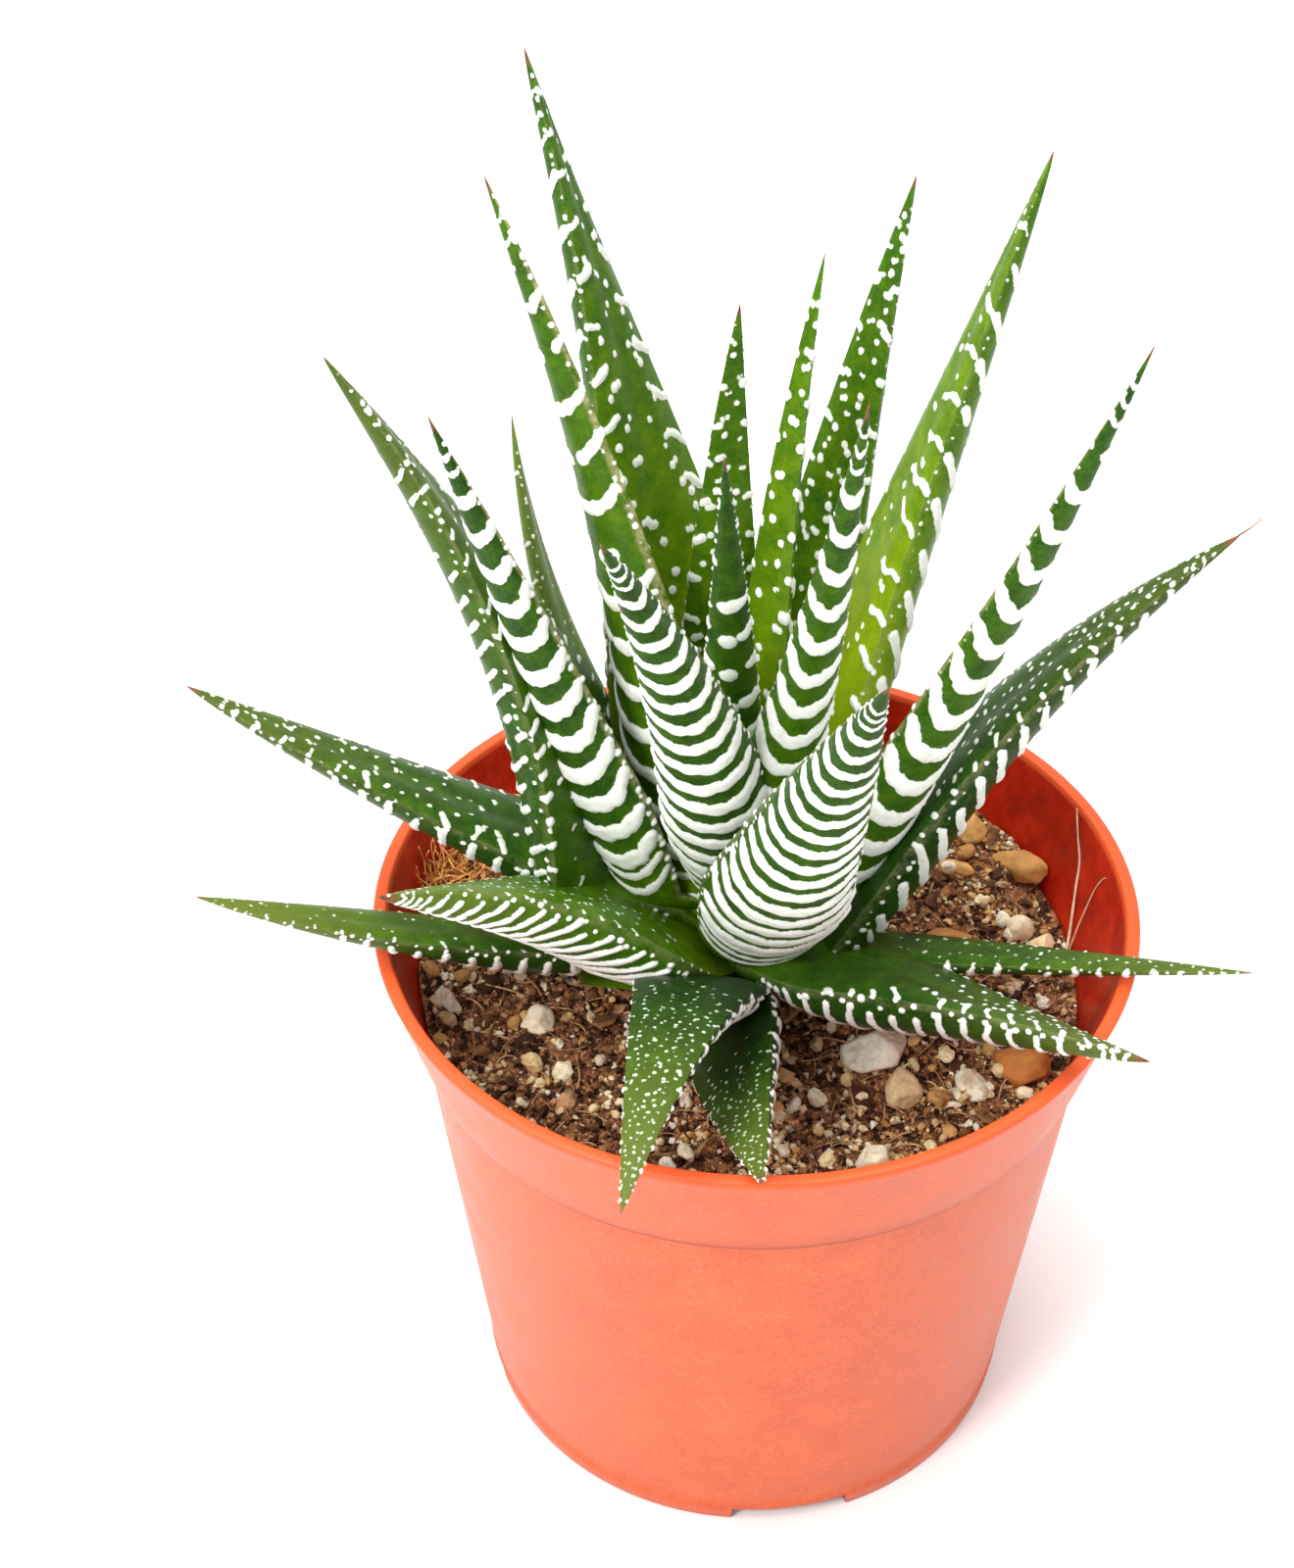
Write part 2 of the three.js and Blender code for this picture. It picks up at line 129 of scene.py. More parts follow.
# How a leaf looks, unless its own row below says otherwise.
PLAIN = dict(
    young=0.2,  # from old dark green to young yellow-green
    olive=0.0,  # how far its tip turns pale olive
    # Below zero, the next value darkens the lower half: painted shade near the rosette's centre.
    glow=0.0,  # how much younger its lower half looks
    band=0.42,  # the bands' share of their spacing
    bow=0.5,  # how far the bands' ends rise towards the tip
    broken=0.3,  # how many gaps the bands have
    reach=0.2,  # how far bars reach onto the inner side, from both edges or from those at -1 and 1
    lean=0.1,  # how steeply these bars rise inwards
    dots=3,  # dots in each row of the inner side
    rows=2.2,  # distance between these rows
    dot=0.4,  # the dots' radius
    bare=0.05,  # the share of its length, from the base, that has none
    veil=0.0,  # how green the dots are
    beads=0.7,  # how large the edges' beads are
    tan=0.1,  # how tan the edges are
)
# Two short outer leaves look alike; their lower halves are darker, painted shade near the rosette's centre.
SHORT_LEAF = dict(
    young=0.08, glow=-0.2, bow=0.3, reach=0.12, dots=7, rows=1.15, dot=0.22, bare=0.25, veil=0.5,
    beads=1, tan=0,
)
# The leaves' looks by their numbers in the table above, counted from 1.
LOOKS = {
    1: dict(young=0.35, broken=1.2, dots=2, rows=3, dot=0.5, beads=0.9),
    2: dict(
        young=0.45, band=0.35, bow=0.7, broken=0.9, reach=0.3, dots=2.6, rows=2.4, dot=0.55,
        beads=0.5,
    ),
    3: dict(
        young=0.5, glow=0.26, band=0.35, bow=0.7, reach=0.15, dots=1.6, rows=3.2, dot=0.62,
        beads=0.3,
    ),
    4: dict(young=0.38, glow=0.15, bow=0.9, broken=0.05, reach=0.1, beads=0.3),
    5: dict(young=0.42, glow=0.36, reach=(0.55, 0.42), lean=(0.7, 0.1), rows=2.4, dot=0.64, beads=0.8),
    6: dict(young=0.42, band=0.3, broken=1.6, reach=0.3, dots=3.4, rows=2, dot=0.6, beads=0.6),
    7: dict(
        young=0.6, glow=0.42, band=0.34, bow=0.7, reach=(0.9, 0.25), lean=0.05, dots=1.8, rows=3,
        dot=0.5, beads=0.4,
    ),
    8: dict(
        young=0.5, band=0.36, broken=0.5, reach=0.25, dots=2, rows=3.4, dot=0.5, beads=0.8, tan=0.5,
    ),
    9: dict(young=0.3, band=0.54, broken=0, reach=0.1, dots=2, beads=0.5),
    10: dict(
        young=0.6, olive=0.5, band=0.15, broken=1.2, reach=0.05, dots=1.2, rows=1.8, dot=0.24,
        beads=0.2,
    ),
    11: dict(young=0.3, band=0.58, broken=0, reach=0.1, dots=2, beads=0.5, tan=0.15),
    12: dict(
        young=0.38, band=0.43, bow=0.8, broken=0.05, reach=0.1, dots=2, dot=0.5, beads=0.5, tan=0.3,
    ),
    13: dict(young=0.3, band=0.48, bow=0.6, broken=0.1, reach=0.1, dots=2.5, beads=0.9, tan=0.5),
    14: dict(young=0.3, olive=0.3, band=0.36, bow=0.4, broken=1.1, reach=0.25, dot=0.46),
    15: dict(young=0.3, dots=2),
    16: dict(
        young=0.08, olive=0.25, broken=0.4, lean=0, dots=5.4, rows=1.8, dot=0.38, bare=0.15, veil=0.2,
        tan=0.15,
    ),
    19: dict(young=0.18, olive=0.35, bow=0.15, reach=0.4, dots=4.2, rows=2.1, bare=0.2, veil=0.25),
    20: dict(
        young=0.42, olive=0.45, band=0.76, bow=-0.3, broken=0.02, reach=0.1, dots=5, rows=1.3,
        dot=0.26, veil=0.3,
    ),
    21: dict(SHORT_LEAF, olive=0.5),
    22: dict(
        young=0.14, olive=0.4, bow=0.1, broken=0.1, reach=(0.5, 0.2), lean=(-0.6, 0.1), dots=4.5, rows=1.9,
        dot=0.36, bare=0.3, veil=0.2, beads=1,
    ),
    23: dict(olive=0.45, bow=0.2, dots=2.2, rows=1.5, dot=0.22, veil=0.4, beads=0.4),
    24: dict(olive=0.65, bow=0.2, dots=1.5, rows=1.6, dot=0.22, veil=0.4, beads=0.4),
    25: dict(SHORT_LEAF, olive=0.45),
}
Look = namedtuple("Look", PLAIN)

SECTION = dict(depth=0.4, inside=0.18, outside=0.8)  # thickness over width, and its shares on both sides
LEAF_SHAPE = dict(
    widest=0.22, base_width=0.75, width_taper=0.9, deepest=0.3, base_depth=0.7, depth_taper=0.75,
)
ROOT = dict(drop=5.0, lowest=61.5, size=0.7, rows=6)  # from a leaf's blade to the stem
BAND = dict(
    height=0.36, least_radius=0.28, first=0.08, last=0.88,  # from 0 at a leaf's base to 1 at its tip
    low_size=0.55, high_size=0.5,  # of the closer rows at the base and the tip
    ripple=(0.16, 0.09), beading=0.12, unevenness=0.07,
)
BEAD = dict(radius=(0.28, 0.62), spacing=(0.9, 2.6))  # along a leaf's edges
# On the inner side: sizes are factors of a leaf's dot radius, and paired and missing are chances.
DOT = dict(first=0.1, last=0.95, spread=0.84, sizes=(0.65, 1.15), scatter=0.16, paired=0.4)
BAR = dict(missing=0.15, size=0.95, sizes=(0.8, 1.2), slope=0.12, reach=(0.6, 1.15), wave=0.25)
DRY_TIP = (1.2, 3.2)  # least and greatest length
LAST_RING = 0.992  # how far up a leaf its last ring of points lies
LEAF_STEP = (0.17, 0.36)  # least and greatest spacing of a leaf skin's points

# The grains on top of the mix: their material, how many, their least and greatest half size, how flat they
# are, how finely each is faceted, how uneven it is, how far it stands out of the mix, how many clumps they
# gather in, and how far their shapes are warped.
Grain = namedtuple("Grain", "material count sizes flatness facets uneven lift clumps warp")
GRAINS = dict(
    peat_crumbs=Grain("crumbs", 9500, (0.12, 0.62), (0.4, 0.9), 1, 0.45, 0.9, 0, 0),
    bark_chips=Grain("crumbs", 260, (0.6, 2.1), (0.15, 0.4), 1, 0.3, 0.5, 0, 0),
    fine_grit=Grain("pale_grit", 3200, (0.14, 0.6), (0.5, 0.9), 1, 0.35, 1.4, 75, 0),
    pale_grit=Grain("pale_grit", 330, (0.45, 1.35), (0.45, 0.8), 2, 0.14, 1.2, 0, 0.22),
)
CLUMP = dict(share=0.75, spread=1.3)  # how many grains of such a kind gather, and how widely

# How dirty grains are, with patches of painted shade, and their tints from the darkest grain at 0 to the
# palest at 1.
TINTS = dict(
    crumbs=(
        0.3, (0.0, (0.02, 0.007, 0.004)), (0.45, (0.09, 0.03, 0.012)), (0.7, (0.36, 0.16, 0.065)),
        (0.86, (0.8, 0.5, 0.25)), (1.0, (1.0, 0.88, 0.6)),
    ),
    pale_grit=(
        0.15, (0.0, (0.42, 0.18, 0.05)), (0.3, (0.7, 0.42, 0.15)), (0.55, (0.9, 0.74, 0.42)),
        (1.0, (0.97, 0.93, 0.76)),
    ),
    stone=(
        0.12, (0.0, (0.5, 0.18, 0.04)), (0.3, (0.74, 0.42, 0.14)), (0.7, (0.92, 0.72, 0.44)),
        (1.0, (0.98, 0.94, 0.78)),
    ),
)
STONE_CUTS = dict(count=13, depth=(0.62, 0.9))  # flat cuts of a stone, and how far out they lie

# Loose fibres, and the tuft of coir at the mix's edge, with the radius of a fibre at its start and end and
# the range of factors that make it uneven.
FIBRE = dict(count=260, margin=4, length=(2, 7), radii=(0.09, 0.05), uneven=(0.8, 2))
TUFT = dict(
    centre=(-37.8, 12.6, 66.0), spread=(6.2, 5.2, 2.6), fibres=240, length=7.0, radii=(0.13, 0.06),
    uneven=(0.7, 1.7),
)
AWN = dict(leaf=16, length=2.4, inside=0.4, radii=(0.14, 0.05))  # the dry hair at one leaf's tip

# Two dry grass stalks that lean on the pot's inner wall: radius, and points from the mix upwards.
STRAWS = [
    (0.2, [
        (38.4, 3.4, 61), (39.2, 6.5, 64), (39.9, 9.6, 67.4), (40.4, 11.7, 70), (40.2, 13.2, 72.3),
        (40.1, 14.6, 74), (40.1, 15.8, 75.2),
    ]),
    (0.12, [
        (38.5, 3.6, 61), (39.6, 4.8, 65), (40.6, 5.6, 68), (41.4, 6, 70.6), (42.1, 5.8, 72.4),
        (42.4, 5.4, 73),
    ]),
]

CAMERA = dict(
    elevation=39.7, roll=0.4, distance=323.4, target_height=40.0, right=12.97, down=40.45, lens=58.5,
    sensor=36,
)
# Soft lights, in metres: place, size, power and target.
LIGHTS = dict(
    overhead=((-0.1, 0.1, 1.1), 1.0, 12, (-0.05, 0.05, 0)),
    key=((-0.4, -0.45, 0.6), 0.25, 4, (0.0, 0.0, 0.08)),
)
BRIGHTNESS = 0.78  # of the white surroundings

# ---------------------------------------------------------------- mesh helpers


def linked(name, data):
    """A new object in the scene."""
    thing = bpy.data.objects.new(name, data)
    bpy.context.scene.collection.objects.link(thing)
    return thing


def add_mesh(name, points, faces, material, slot, values=None, uv=None, smooth=True):
    """A piece from points in mm and arrays of faces. values are per point, and uv is per face corner."""
    mesh = bpy.data.meshes.new(name)
    mesh.vertices.add(len(points))
    mesh.vertices.foreach_set("co", ((points + POT_AXIS) * MM).astype(np.float32).ravel())
    corners = np.concatenate([f.ravel() for f in faces])
    sizes = np.concatenate([np.full(len(f), f.shape[1]) for f in faces])
    starts = np.cumsum(sizes) - sizes
    mesh.loops.add(len(corners))
    mesh.loops.foreach_set("vertex_index", corners.astype(np.int32))
    mesh.polygons.add(len(sizes))
    mesh.polygons.foreach_set("loop_start", starts.astype(np.int32))
    mesh.polygons.foreach_set("use_smooth", np.full(len(sizes), smooth))
    for key, value in (values or {}).items():
        attribute = mesh.attributes.new(key, "FLOAT", "POINT")
        attribute.data.foreach_set("value", value.astype(np.float32))
    if uv is not None:
        layer = mesh.uv_layers.new(name="OFBake")
        layer.data.foreach_set("uv", uv.astype(np.float32).ravel())
    mesh.update(calc_edges=True)
    mesh.validate()
    mesh.materials.append(material)
    piece = linked(name, mesh)
    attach(piece, BODY)
    return piece


def grid_faces(rows, columns):
    """Four-sided faces of a grid of points whose columns close on themselves."""
    i, j = np.meshgrid(np.arange(rows - 1), np.arange(columns), indexing="ij")
    low, high = i * columns, (i + 1) * columns
    following = (j + 1) % columns
    return np.stack([low + j, low + following, high + following, high + j], -1).reshape(-1, 4)


def fan(centre, ring):
    """Triangles from one point to a closed ring of points."""
    return np.stack([np.full(len(ring), centre), ring, np.roll(ring, -1)], -1)


def closed_skin(rings, first, last):
    """Points and faces of a body from its rings of points and a middle point for its first and last ring."""
    rows, columns, _ = rings.shape
    count = rows * columns
    ends = [fan(count, np.arange(columns)[::-1]), fan(count + 1, np.arange(count - columns, count))]
    points = np.concatenate([rings.reshape(-1, 3), [first, last]])
    return points, [grid_faces(rows, columns), np.concatenate(ends)]


def evenly_round(count, turn=0):
    """Angles of evenly spaced places round an axis."""
    return math.radians(turn) + np.arange(count) * 2 * np.pi / count


def turned(radius, height, angle):
    """Rings of points round the Z axis, from columns of radii and heights and a row of angles."""
    x, y, z = np.broadcast_arrays(radius * np.cos(angle), radius * np.sin(angle), height)
    return np.stack([x, y, z], -1)


def smoothstep(low, high, x):
    share = np.clip((x - low) / (high - low), 0, 1)
    return share * share * (3 - 2 * share)


def fractal(points, scale, octaves=4, offset=0.0):
    """Cloudy noise of about -1 to 1 at each point."""
    shift = Vector((offset, 1.7 * offset, -offset))
    return np.array([noise.fractal(Vector(p) * scale + shift, 0.9, 2.0, octaves) for p in points])


def tube(path, radii, sides=6):
    """Points and faces of a closed tube along a path, with its radius at the first and last point."""
    path = np.asarray(path, float)
    along = np.gradient(path, axis=0)
    along /= np.linalg.norm(along, axis=1, keepdims=True)
    sideways = np.cross(along, (0.3, 0.5, 0.8))
    sideways /= np.linalg.norm(sideways, axis=1, keepdims=True)
    third = np.cross(along, sideways)
    angle = evenly_round(sides)[None, :, None]
    ring = sideways[:, None] * np.cos(angle) + third[:, None] * np.sin(angle)
    rings = path[:, None] + ring * np.linspace(*radii, len(path))[:, None, None]
    return closed_skin(rings, path[0], path[-1])


def joined(parts):
    """Points and faces of several (points, faces) as one."""
    points, faces, start = [], {}, 0
    for part_points, part_faces in parts:
        points.append(part_points)
        for group in part_faces:
            faces.setdefault(group.shape[1], []).append(group + start)
        start += len(part_points)
    return np.concatenate(points), [np.concatenate(groups) for groups in faces.values()]


def smooth_path(points, steps=8):
    """More points on a smooth line through the given ones."""
    points = np.asarray(points, float)
    ends = np.concatenate([[2 * points[0] - points[1]], points, [2 * points[-1] - points[-2]]])
    found = []
    for a, b, c, d in zip(ends, ends[1:], ends[2:], ends[3:]):
        for s in np.arange(steps) / steps:
            found.append(0.5 * (2 * b + (c - a) * s + (2 * a - 5 * b + 4 * c - d) * s**2
                                + (3 * b - a - 3 * c + d) * s**3))
    return np.array(found + [points[-1]])


def ball(subdivisions):
    """Points and triangles of a round ball of radius 1."""
    shape = bmesh.new()
    bmesh.ops.create_icosphere(shape, subdivisions=subdivisions, radius=1)
    points = np.array([v.co[:] for v in shape.verts])
    triangles = np.array([[v.index for v in f.verts] for f in shape.faces])
    shape.free()
    return points, triangles


# ---------------------------------------------------------------- material helpers


class Surface:
    """A procedural material: nodes are added by name, and values are put on the shader's own sockets."""

    def __init__(self, name, **values):
        self.material = bpy.data.materials.new(name)
        self.material.use_nodes = True
        self.tree = self.material.node_tree
        self.shader = self.tree.nodes["Principled BSDF"]
        for key, value in values.items():
            self.put(self.shader, key.replace("_", " "), value)
        self.place = self.node("ShaderNodeTexCoord").outputs["Object"]

    def put(self, node, key, value):
        """Gives a node's input a value or another node's output."""
        if isinstance(value, bpy.types.NodeSocket):
            self.tree.links.new(value, node.inputs[key])
        else:
            node.inputs[key].default_value = value

    def node(self, kind, inputs=None, **settings):
        node = self.tree.nodes.new(kind)
        for key, value in settings.items():
            setattr(node, key, value)
        for key, value in (inputs or {}).items():
            self.put(node, key, value)
        return node

    def attribute(self, name):
        return self.node("ShaderNodeAttribute", attribute_name=name).outputs["Fac"]

    def cloud(self, size, detail=4.0, roughness=0.6, stretch=None):
        """Noise from 0 to 1, with lumps of about the given size in mm."""
        place = self.place
        if stretch:
            place = self.node("ShaderNodeMapping", {"Vector": place, "Scale": stretch}).outputs["Vector"]
        inputs = {"Vector": place, "Scale": 1 / (size * MM), "Detail": detail, "Roughness": roughness}
        return self.node("ShaderNodeTexNoise", inputs).outputs["Fac"]

    def ramp(self, factor, *stops):
        """Colours or greys at places from 0 to 1."""
        ramp = self.node("ShaderNodeValToRGB", {"Fac": factor})
        elements = ramp.color_ramp.elements
        for element, (place, _) in zip(elements, stops):
            element.position = place
        for place, _ in stops[len(elements):]:
            elements.new(place)
        for element, (_, colour) in zip(elements, stops):
            element.color = (*np.broadcast_to(colour, 3), 1)
        return ramp.outputs["Color"]

    def mix(self, factor, first, second):
        """From the first colour at 0 to the second at 1."""
        inputs = {"Factor": factor}
        for key, colour in ((6, first), (7, second)):
            inputs[key] = (*colour, 1) if isinstance(colour, tuple) else colour
        return self.node("ShaderNodeMix", inputs, data_type="RGBA").outputs[2]

    def math(self, operation, first, second):
        return self.node("ShaderNodeMath", {0: first, 1: second}, operation=operation).outputs["Value"]

    def span(self, value, low, high, to_low=0.0, to_high=1.0):
        """value from low..high to to_low..to_high, held at its ends."""
        limits = {"From Min": low, "From Max": high, "To Min": to_low, "To Max": to_high}
        return self.node("ShaderNodeMapRange", {"Value": value, **limits}).outputs["Result"]

    def bump(self, height, depth, strength):
        """Fine relief, depth in mm."""
        inputs = {"Height": height, "Distance": depth * MM, "Strength": strength}
        self.put(self.shader, "Normal", self.node("ShaderNodeBump", inputs).outputs["Normal"])

    def colour(self, socket):
        self.put(self.shader, "Base Color", socket)

    def roughness(self, socket):
        self.put(self.shader, "Roughness", socket)


def leaf_skin(name):
    """Green flesh with white tubercles, a tan edge and a dry brown tip."""
    skin = Surface(
        name, Subsurface_Weight=0.06, Subsurface_Scale=1.2 * MM, Subsurface_Radius=(0.6, 1.0, 0.2),
        Specular_IOR_Level=0.11,
    )
    mottle = skin.cloud(2.6, 5)
    speckle = skin.cloud(0.4, 3, 0.7)
    # The tone from the points also holds painted light on the inner side and painted shade on some leaves'
    # lower halves.
    young = skin.math("ADD", skin.attribute("young"), skin.span(mottle, 0.3, 0.7, -0.14, 0.14))
    green = skin.ramp(
        young,
        (0.0, (0.008, 0.034, 0.005)),
        (0.25, (0.021, 0.07, 0.005)),
        (0.5, (0.055, 0.145, 0.003)),
        (0.75, (0.125, 0.235, 0.003)),
        (1.0, (0.25, 0.35, 0.005)),
    )
    green = skin.mix(skin.span(speckle, 0.5, 0.8, 0, 0.3), green, (0.14, 0.24, 0.01))
    green = skin.mix(skin.span(speckle, 0.5, 0.25, 0, 0.4), green, (0.004, 0.016, 0.003))
    green = skin.mix(skin.attribute("olive"), green, (0.2, 0.24, 0.035))
    tan = skin.math("MULTIPLY", skin.attribute("edge"), skin.span(skin.cloud(1.6, 4), 0.35, 0.6))
    green = skin.mix(tan, green, (0.42, 0.38, 0.18))
    dry = skin.ramp(skin.cloud(0.8, 4), (0.3, (0.1, 0.035, 0.015)), (0.7, (0.3, 0.12, 0.06)))
    body = skin.mix(skin.attribute("dry"), green, dry)
    white = skin.ramp(skin.cloud(1.2, 4), (0.3, (0.78, 0.8, 0.68)), (0.6, (0.94, 0.95, 0.91)))
    white = skin.mix(skin.attribute("veil"), white, (0.3, 0.4, 0.18))
    ragged = skin.math("MULTIPLY", skin.math("SUBTRACT", skin.cloud(0.9, 3), 0.5), 0.5)
    is_white = skin.span(skin.math("ADD", skin.attribute("tubercle"), ragged), -0.05, 0.06)
    skin.colour(skin.mix(is_white, body, white))
    gloss = skin.span(is_white, 0, 1, 0.34, 0.6)
    skin.roughness(skin.math("ADD", gloss, skin.span(speckle, 0.3, 0.7, -0.05, 0.08)))
    skin.bump(skin.math("ADD", speckle, skin.math("MULTIPLY", skin.cloud(1.0, 3), 0.6)), 0.06, 0.8)
    return skin.material


def pot_plastic():
    """Terracotta-coloured plastic: paler and dusty outside, deeper and stained inside."""
    plastic = Surface("pot_plastic", Specular_IOR_Level=0.3)
    dust = plastic.cloud(7, 6, 0.7)
    outside = plastic.ramp(dust, (0.3, (0.56, 0.084, 0.026)), (0.7, (0.68, 0.13, 0.046)))
    outside = plastic.mix(plastic.span(plastic.cloud(0.5, 2), 0.5, 0.8, 0, 0.25), outside, (0.8, 0.33, 0.2))
    streaks = plastic.span(plastic.cloud(1.5, 8, 0.75, (1, 1, 2.5)), 0.6, 0.72)
    scuff = plastic.math("MULTIPLY", streaks, plastic.span(plastic.cloud(14, 2), 0.48, 0.62))
    outside = plastic.mix(plastic.math("MULTIPLY", scuff, 0.6), outside, (0.86, 0.55, 0.42))
    inside = plastic.ramp(
        plastic.cloud(5, 6, 0.7),
        (0.3, (0.27, 0.009, 0.002)),
        (0.5, (0.52, 0.016, 0.003)),
        (0.7, (0.7, 0.035, 0.006)),
    )
    body = plastic.mix(plastic.attribute("inside"), outside, inside)
    # A thin line just under the lip's step is darkened: painted shade.
    body = plastic.mix(plastic.attribute("painted_lip_shade"), body, (0.28, 0.03, 0.011))
    plastic.colour(plastic.mix(plastic.attribute("rim"), body, (0.8, 0.1, 0.022)))
    plastic.roughness(plastic.span(dust, 0.3, 0.7, 0.3, 0.48))
    plastic.bump(plastic.math("ADD", plastic.cloud(0.5, 4), plastic.cloud(5, 2)), 0.03, 0.5)
    return plastic.material


def grit(name, dark, light, size, roughness, wet=0.0):
    """Grains or crumbs between two colours, with some finer specks."""
    grain = Surface(name, Specular_IOR_Level=0.15)
    lumps = grain.cloud(size, 6, 0.8)
    base = grain.ramp(lumps, (0.42, dark), (0.58, light))
    specks = grain.span(grain.cloud(0.5, 3, 0.7), 0.56, 0.66, 0, 0.8)
    grain.colour(grain.mix(specks, base, tuple(min(1, 2.6 * c + 0.03) for c in light)))
    grain.roughness(grain.span(lumps, 0.3, 0.7, roughness - wet, roughness))
    grain.bump(grain.math("ADD", lumps, grain.cloud(0.3, 3)), 0.12, 0.8)
    return grain.material


def tinted_grit(name):
    """Grains that each have their own tint, from the point value 'tint', and some dirt and patches of
    painted shade.
    """
    dirt_and_shade, *stops = TINTS[name]
    grain = Surface(name, Specular_IOR_Level=0.2)
    base = grain.ramp(grain.attribute("tint"), *stops)
    lumps = grain.cloud(0.7, 4, 0.7)
    rust = grain.mix(grain.span(grain.cloud(2.5, 4, 0.7), 0.5, 0.62, 0, 0.6), base, (0.55, 0.28, 0.09))
    rust_and_shade = grain.mix(grain.attribute("tint"), base, rust)
    # Dark patches a few millimetres wide: painted shade among the grains.
    painted_shade_patches = grain.math("MULTIPLY", grain.span(grain.cloud(4, 4, 0.7), 0.48, 0.6), 2.2 * dirt_and_shade)
    rust_and_shade = grain.mix(painted_shade_patches, rust_and_shade, (0.03, 0.011, 0.005))
    grain.colour(grain.mix(grain.span(lumps, 0.3, 0.6, dirt_and_shade, 0.0), rust_and_shade, (0.02, 0.008, 0.004)))
    grain.roughness(grain.span(lumps, 0.3, 0.7, 0.55, 0.85))
    grain.bump(lumps, 0.15, 0.8)
    return grain.material


def mottled(name, dark, light, lumps=(1.5, 4), edges=(0.35, 0.65), relief=(0.4, 0.05)):
    """One tint that wanders between two colours, as on fibres and the stem."""
    skin = Surface(name)
    skin.colour(skin.ramp(skin.cloud(*lumps), *zip(edges, (dark, light))))
    skin.roughness(skin.span(skin.cloud(1, 2), 0, 1, 0.5, 0.7))
    skin.bump(skin.cloud(relief[0], 3), relief[1], 0.6)
    return skin.material


# ---------------------------------------------------------------- leaves


def swell(t, peak, base, taper):
    """How wide or deep a leaf is at t, as a share of its greatest."""
    rising = base + (1 - base) * np.sin(np.clip(t / peak, 0, 1) * np.pi / 2)
    return np.where(t < peak, rising, np.clip((1 - t) / (1 - peak), 0, 1) ** taper)


def half_width(leaf, t):
    shape = swell(t, LEAF_SHAPE["widest"], LEAF_SHAPE["base_width"], LEAF_SHAPE["width_taper"])
    return leaf.width / 2 * shape


def thickness(leaf, t):
    shape = swell(t, LEAF_SHAPE["deepest"], LEAF_SHAPE["base_depth"], LEAF_SHAPE["depth_taper"])
    return leaf.width * SECTION["depth"] * shape


def leaf_directions(leaf, t):
    """The leaf's own directions at t: along it, across it, and out of its inner side."""
    facing = np.radians(leaf.facing + leaf.sweep * t**1.5)
    rise = np.radians(leaf.rise[0] + (leaf.rise[1] - leaf.rise[0]) * t)
    twist = np.radians(leaf.twist[0] + (leaf.twist[1] - leaf.twist[0]) * t)[:, None]
    along = np.stack([np.cos(rise) * np.cos(facing), np.cos(rise) * np.sin(facing), np.sin(rise)], -1)
    level = np.stack([-np.sin(facing), np.cos(facing), np.zeros_like(facing)], -1)
    inward = np.cross(along, level)
    across = level * np.cos(twist) + inward * np.sin(twist)
    return along, across, inward * np.cos(twist) - level * np.sin(twist)


def leaf_spine(leaf, t, steps=60):
    """Points of the leaf's centre line at t."""
    middles = (np.arange(steps) + 0.5) / steps
    along, _, _ = leaf_directions(leaf, middles)
    base = np.array(leaf.base, float)
    knots = np.concatenate([[base], base + np.cumsum(along, 0) * leaf.length / steps])
    places = np.linspace(0, 1, steps + 1)
    return np.stack([np.interp(t, places, knots[:, axis]) for axis in range(3)], -1)


def depth_at(across, inner):
    """Depth of the section at a place across it, as a share of its thickness."""
    round_side = np.sqrt(np.clip(1 - across**2, 0, 1))
    hollow = 1 - 0.45 * np.exp(-((across / 0.4) ** 2))
    return np.where(inner, SECTION["inside"] * (1 - across**2) * hollow, -SECTION["outside"] * round_side)


def skin_points(leaf, t, across, inner):
    """Points on the leaf's skin at matching arrays of t, place across and side."""
    _, side, inward = leaf_directions(leaf, t)
    offset = side * (half_width(leaf, t) * across)[:, None]
    return leaf_spine(leaf, t) + offset + inward * (thickness(leaf, t) * depth_at(across, inner))[:, None]


def section_places(leaf, step):
    """Places round the section: across it from -1 to 1, and whether on the inner side."""
    outer_count = int(1.25 * leaf.width / step)
    inner_count = int(leaf.width / step)
    outer = np.cos(np.linspace(0, np.pi, outer_count, endpoint=False))
    inner = -np.cos(np.linspace(0, np.pi, inner_count, endpoint=False))
    across = np.concatenate([outer, inner])
    return across, np.concatenate([np.zeros(outer_count, bool), np.ones(inner_count, bool)])


def band_places(leaf):
    """t of each band's middle, and of the closer rows of the base and the tip."""
    first, last = BAND["first"], BAND["last"]
    count = round((last - first) * leaf.length / leaf.pitch)
    bands = first + (last - first) * (np.arange(count) + 0.5) / count
    step = bands[1] - bands[0]
    low = np.arange(bands[0] - 0.6 * step, 0.005, -0.6 * step)
    high, t = [], bands[-1] + 0.75 * step
    while t < 0.95:
        high.append(t)
        t += step * 0.62 * (1.6 - t)
    return bands, low, high


def band_bow(look, wide, x):
    """How far towards the tip a band lies at a place across the leaf."""
    return look.bow * wide * (x * x + 0.5 * x**6)


